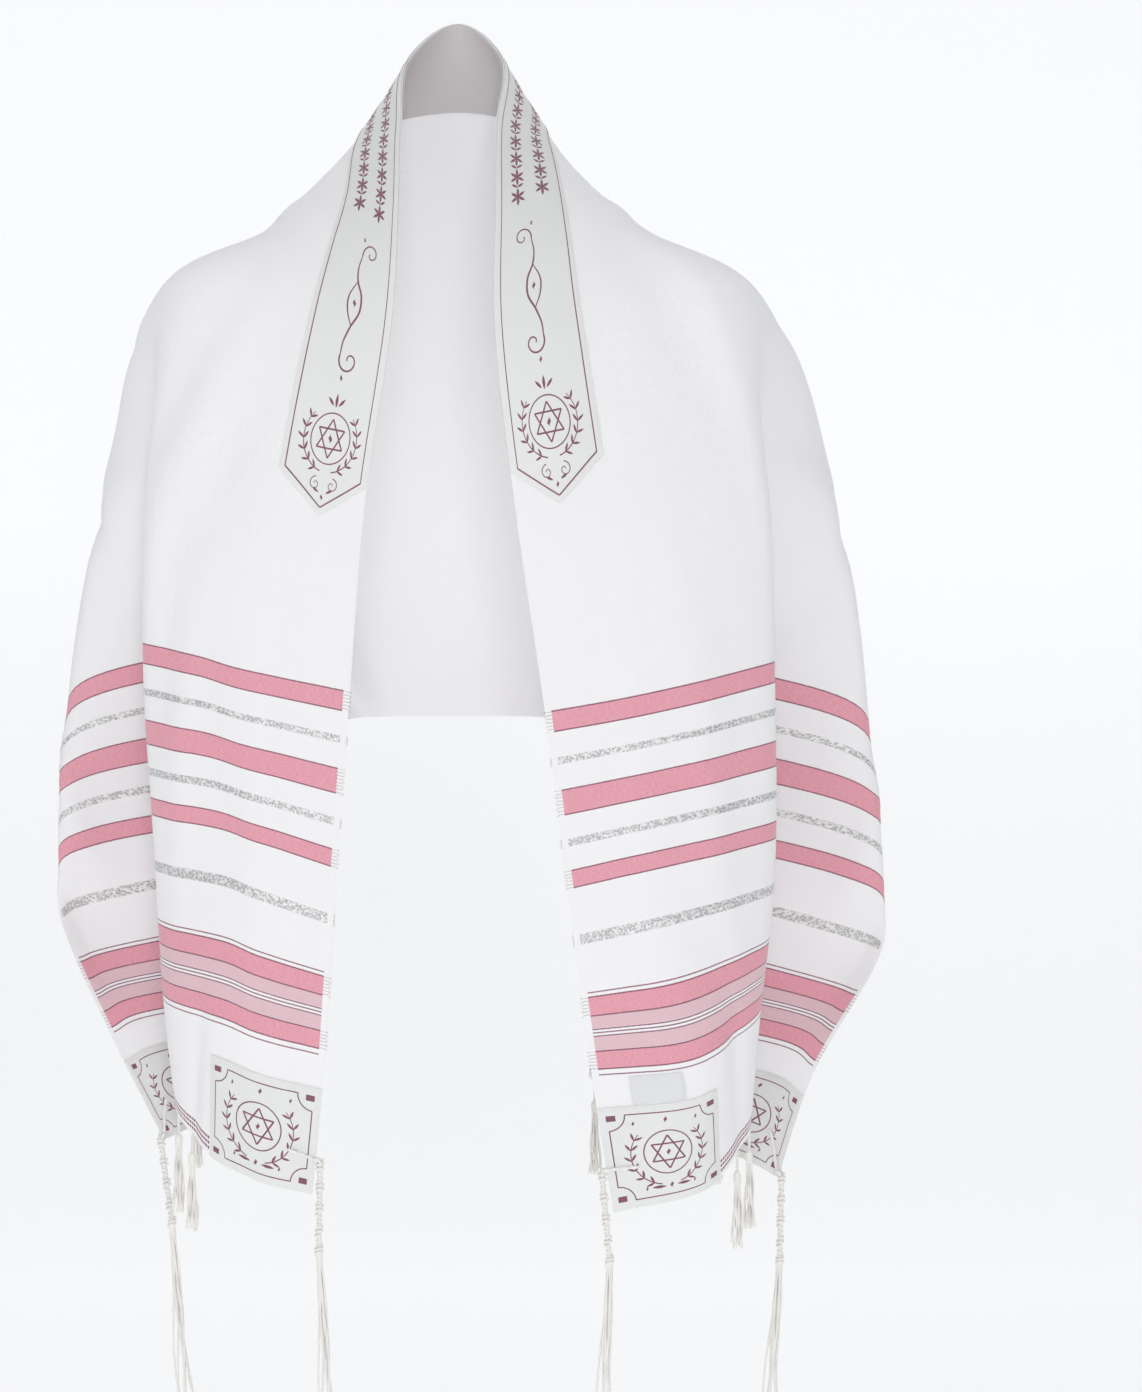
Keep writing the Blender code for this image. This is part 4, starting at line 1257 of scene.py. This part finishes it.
def corner_thread(row, material):
    """A thread through the patch, over the long edge, knotted and in eight strands."""
    name = f"corner_thread_{side_name(row.side)}_{row.place}"
    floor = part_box(name)[0][2]
    work = Threads()
    top = tie_over_edge(work, row) + down(0.002)
    foot = top + Vector((row.lean, 0, -STEM_LENGTH))
    for knot in range(KNOT_COUNT):
        for winding in KNOT_WINDINGS:
            upper, lower = (top.lerp(foot, (knot + share) / KNOT_COUNT)
                            for share in (winding.start, winding.end))
            work.wind(upper + down(-winding.rise), lower, winding,
                      winding.phase + knot * winding.phase_step)
    work.wind(foot + down(-0.002), foot + down(0.004), FOOT_WINDING, FOOT_WINDING.phase)
    for k in range(STRAND_COUNT):
        turn = 2 * math.pi * (k + 0.3) / STRAND_COUNT
        reach = STRAND_REACH + STRAND_REACH_SPREAD * math.sin(k * 2.4 + row.side)
        length = foot.z - floor - STRAND_STAGGER * (k % 4)
        tip = foot + ring_point(turn, reach, -length) + Vector((row.sway, 0.0, 0.0))
        radii = [STRAND_RADIUS * (1.0 - 0.25 * j / 25) for j in range(26)]
        work.strand(foot + ring_point(turn, STRAND_ROOT), tip, STRAND_SWAY,
                    k * 1.9 + row.side, radii, 8, 1.1)
    return work.build(name + "_plied", material, name)


def hem_tassel(name, material):
    """A thread from the hem, a wound head and a skirt of strands."""
    low, high = (Vector(corner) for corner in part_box(name))
    top = Vector(((low.x + high.x) / 2, (low.y + high.y) / 2, high.z))
    neck = top + down(TASSEL_NECK_LENGTH)
    head_end = neck + down(TASSEL_HEAD_LENGTH)
    work = Threads()
    for phase in (0.0, math.pi):
        work.wind(top + down(-0.0012), neck, TASSEL_CORD, phase)
    crown = [neck.lerp(head_end, share) for share in TASSEL_CROWN]
    work.tube(crown, list(TASSEL_CROWN.values()), 10)
    upper, lower = (neck.lerp(head_end, share)
                    for share in (TASSEL_WRAP.start, TASSEL_WRAP.end))
    work.wind(upper, lower, TASSEL_WRAP, 0.0)
    place = sum(ord(letter) for letter in name)
    for k in range(TASSEL_THREADS):
        turn = 2.4 * k
        spread = TASSEL_SPREAD * math.sqrt((k + 0.5) / TASSEL_THREADS)
        length = head_end.z - low.z - TASSEL_STAGGER * ((k * 7 + place) % 3)
        work.strand(head_end + ring_point(turn, spread * 0.5, 0.0015),
                    head_end + ring_point(turn, spread * 1.3, -length), TASSEL_SWAY,
                    k * 1.3 + place, [TASSEL_STRAND_RADIUS] * 12, 6, 1.2)
    return work.build(name + "_plied", material, name)


def link(name, data):
    item = bpy.data.objects.new(name, data)
    bpy.context.scene.collection.objects.link(item)
    return item


def add_camera():
    camera = bpy.data.cameras.new("camera")
    camera.sensor_width = SENSOR
    camera.lens = SENSOR * CAMERA_DISTANCE / FRAME_HEIGHT_AT_FRONT
    camera.shift_x = FRAME_MIDDLE[0] / FRAME_HEIGHT_AT_FRONT
    camera.clip_end = 50.0
    item = link("camera", camera)
    item.location = (0.0, FRONT_PLANE_Y - CAMERA_DISTANCE, FRAME_MIDDLE[1])
    item.rotation_euler = (math.radians(90), 0.0, 0.0)
    bpy.context.scene.camera = item


def add_lamp(name, place, aim, size, power):
    light = bpy.data.lights.new(name, "AREA")
    light.shape = "RECTANGLE"
    light.size, light.size_y = size
    light.energy = power
    item = link(name, light)
    item.location = place
    item.rotation_euler = (Vector(aim) - Vector(place)).to_track_quat("-Z", "Y").to_euler()


def add_stage():
    """A pale floor that curves up into a backdrop, and soft light all round."""
    start, bend = BACKDROP_START, BACKDROP_BEND
    profile = [(-8.0, FLOOR_Z), (start, FLOOR_Z)]
    for k in range(1, 13):
        turn = math.pi / 2 * k / 12
        profile.append((start + bend * math.sin(turn), FLOOR_Z + bend * (1 - math.cos(turn))))
    profile.append((start + bend, BACKDROP_TOP))
    verts = [(x, y, z) for y, z in profile for x in (-BACKDROP_HALF, BACKDROP_HALF)]
    faces = [(2 * k, 2 * k + 1, 2 * k + 3, 2 * k + 2) for k in range(len(profile) - 1)]
    mesh = bpy.data.meshes.new("studio_floor")
    mesh.from_pydata(verts, [], faces)
    mesh.shade_smooth()
    material = bpy.data.materials.new("studio_paper")
    material.use_nodes = True
    shader = material.node_tree.nodes["Principled BSDF"]
    shader.inputs["Base Color"].default_value = PAPER
    shader.inputs["Roughness"].default_value = 0.95
    shader.inputs["Emission Color"].default_value = (1.0, 1.0, 1.0, 1.0)
    shader.inputs["Emission Strength"].default_value = BACKDROP_GLOW
    mesh.materials.append(material)
    link("studio_floor", mesh)
    world = bpy.data.worlds.new("studio")
    world.use_nodes = True
    back = world.node_tree.nodes["Background"]
    back.inputs["Color"].default_value = SKY
    back.inputs["Strength"].default_value = WORLD_LIGHT
    bpy.context.scene.world = world
    for lamp in STUDIO_LIGHTS:
        add_lamp(*lamp)
    bpy.context.scene.view_settings.view_transform = "Standard"


def main():
    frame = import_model()
    add_camera()
    cloth = cloth_material()
    satin = satin_material("band_satin_weave", SATIN, SATIN_SHADE, SATIN_PITCH)
    nape_shade_satin = satin_material("facing_satin_painted_shade", NAPE_SHADE_SATIN, NAPE_SHADE_SATIN_DARK, SATIN_PITCH)
    shaded_tape = satin_material("label_tape_painted_shade", LABEL_TAPE_SHADED, LABEL_TAPE_SHADED_DARK, TAPE_PITCH)
    plum = thread_material("plum_embroidery", PLUM, PLUM_SHADE)
    white_thread = thread_material("white_thread", THREAD_WHITE, THREAD_SHADE)

    shell = build_shawl(cloth)
    band = build_neckband(satin)
    facing = build_facing(nape_shade_satin)
    label = build_label(shaded_tape, white_thread)
    trims = {"cloth": [selvedge_ticks(plum)], "band": [band_stitches(white_thread)]}
    for side in (-1, 1):
        trims["band"].append(band_ornament(side, plum))
        for place in ("front", "outer"):
            patch = build_patch(side, place, satin)
            extras = [patch_ornament(side, place, plum),
                      patch_stitches(side, place, white_thread)]
        for index in range(1, TASSEL_COUNT + 1):
            name = f"tassel_{side_name(side)}_{index}"
            trims["cloth"].append(hem_tassel(name, white_thread))
    for row in CORNER_THREADS:
        trims["cloth"].append(corner_thread(row, white_thread))
    add_stage()
    print(len(frame["nodes"]), "nodes in the frame")


main()
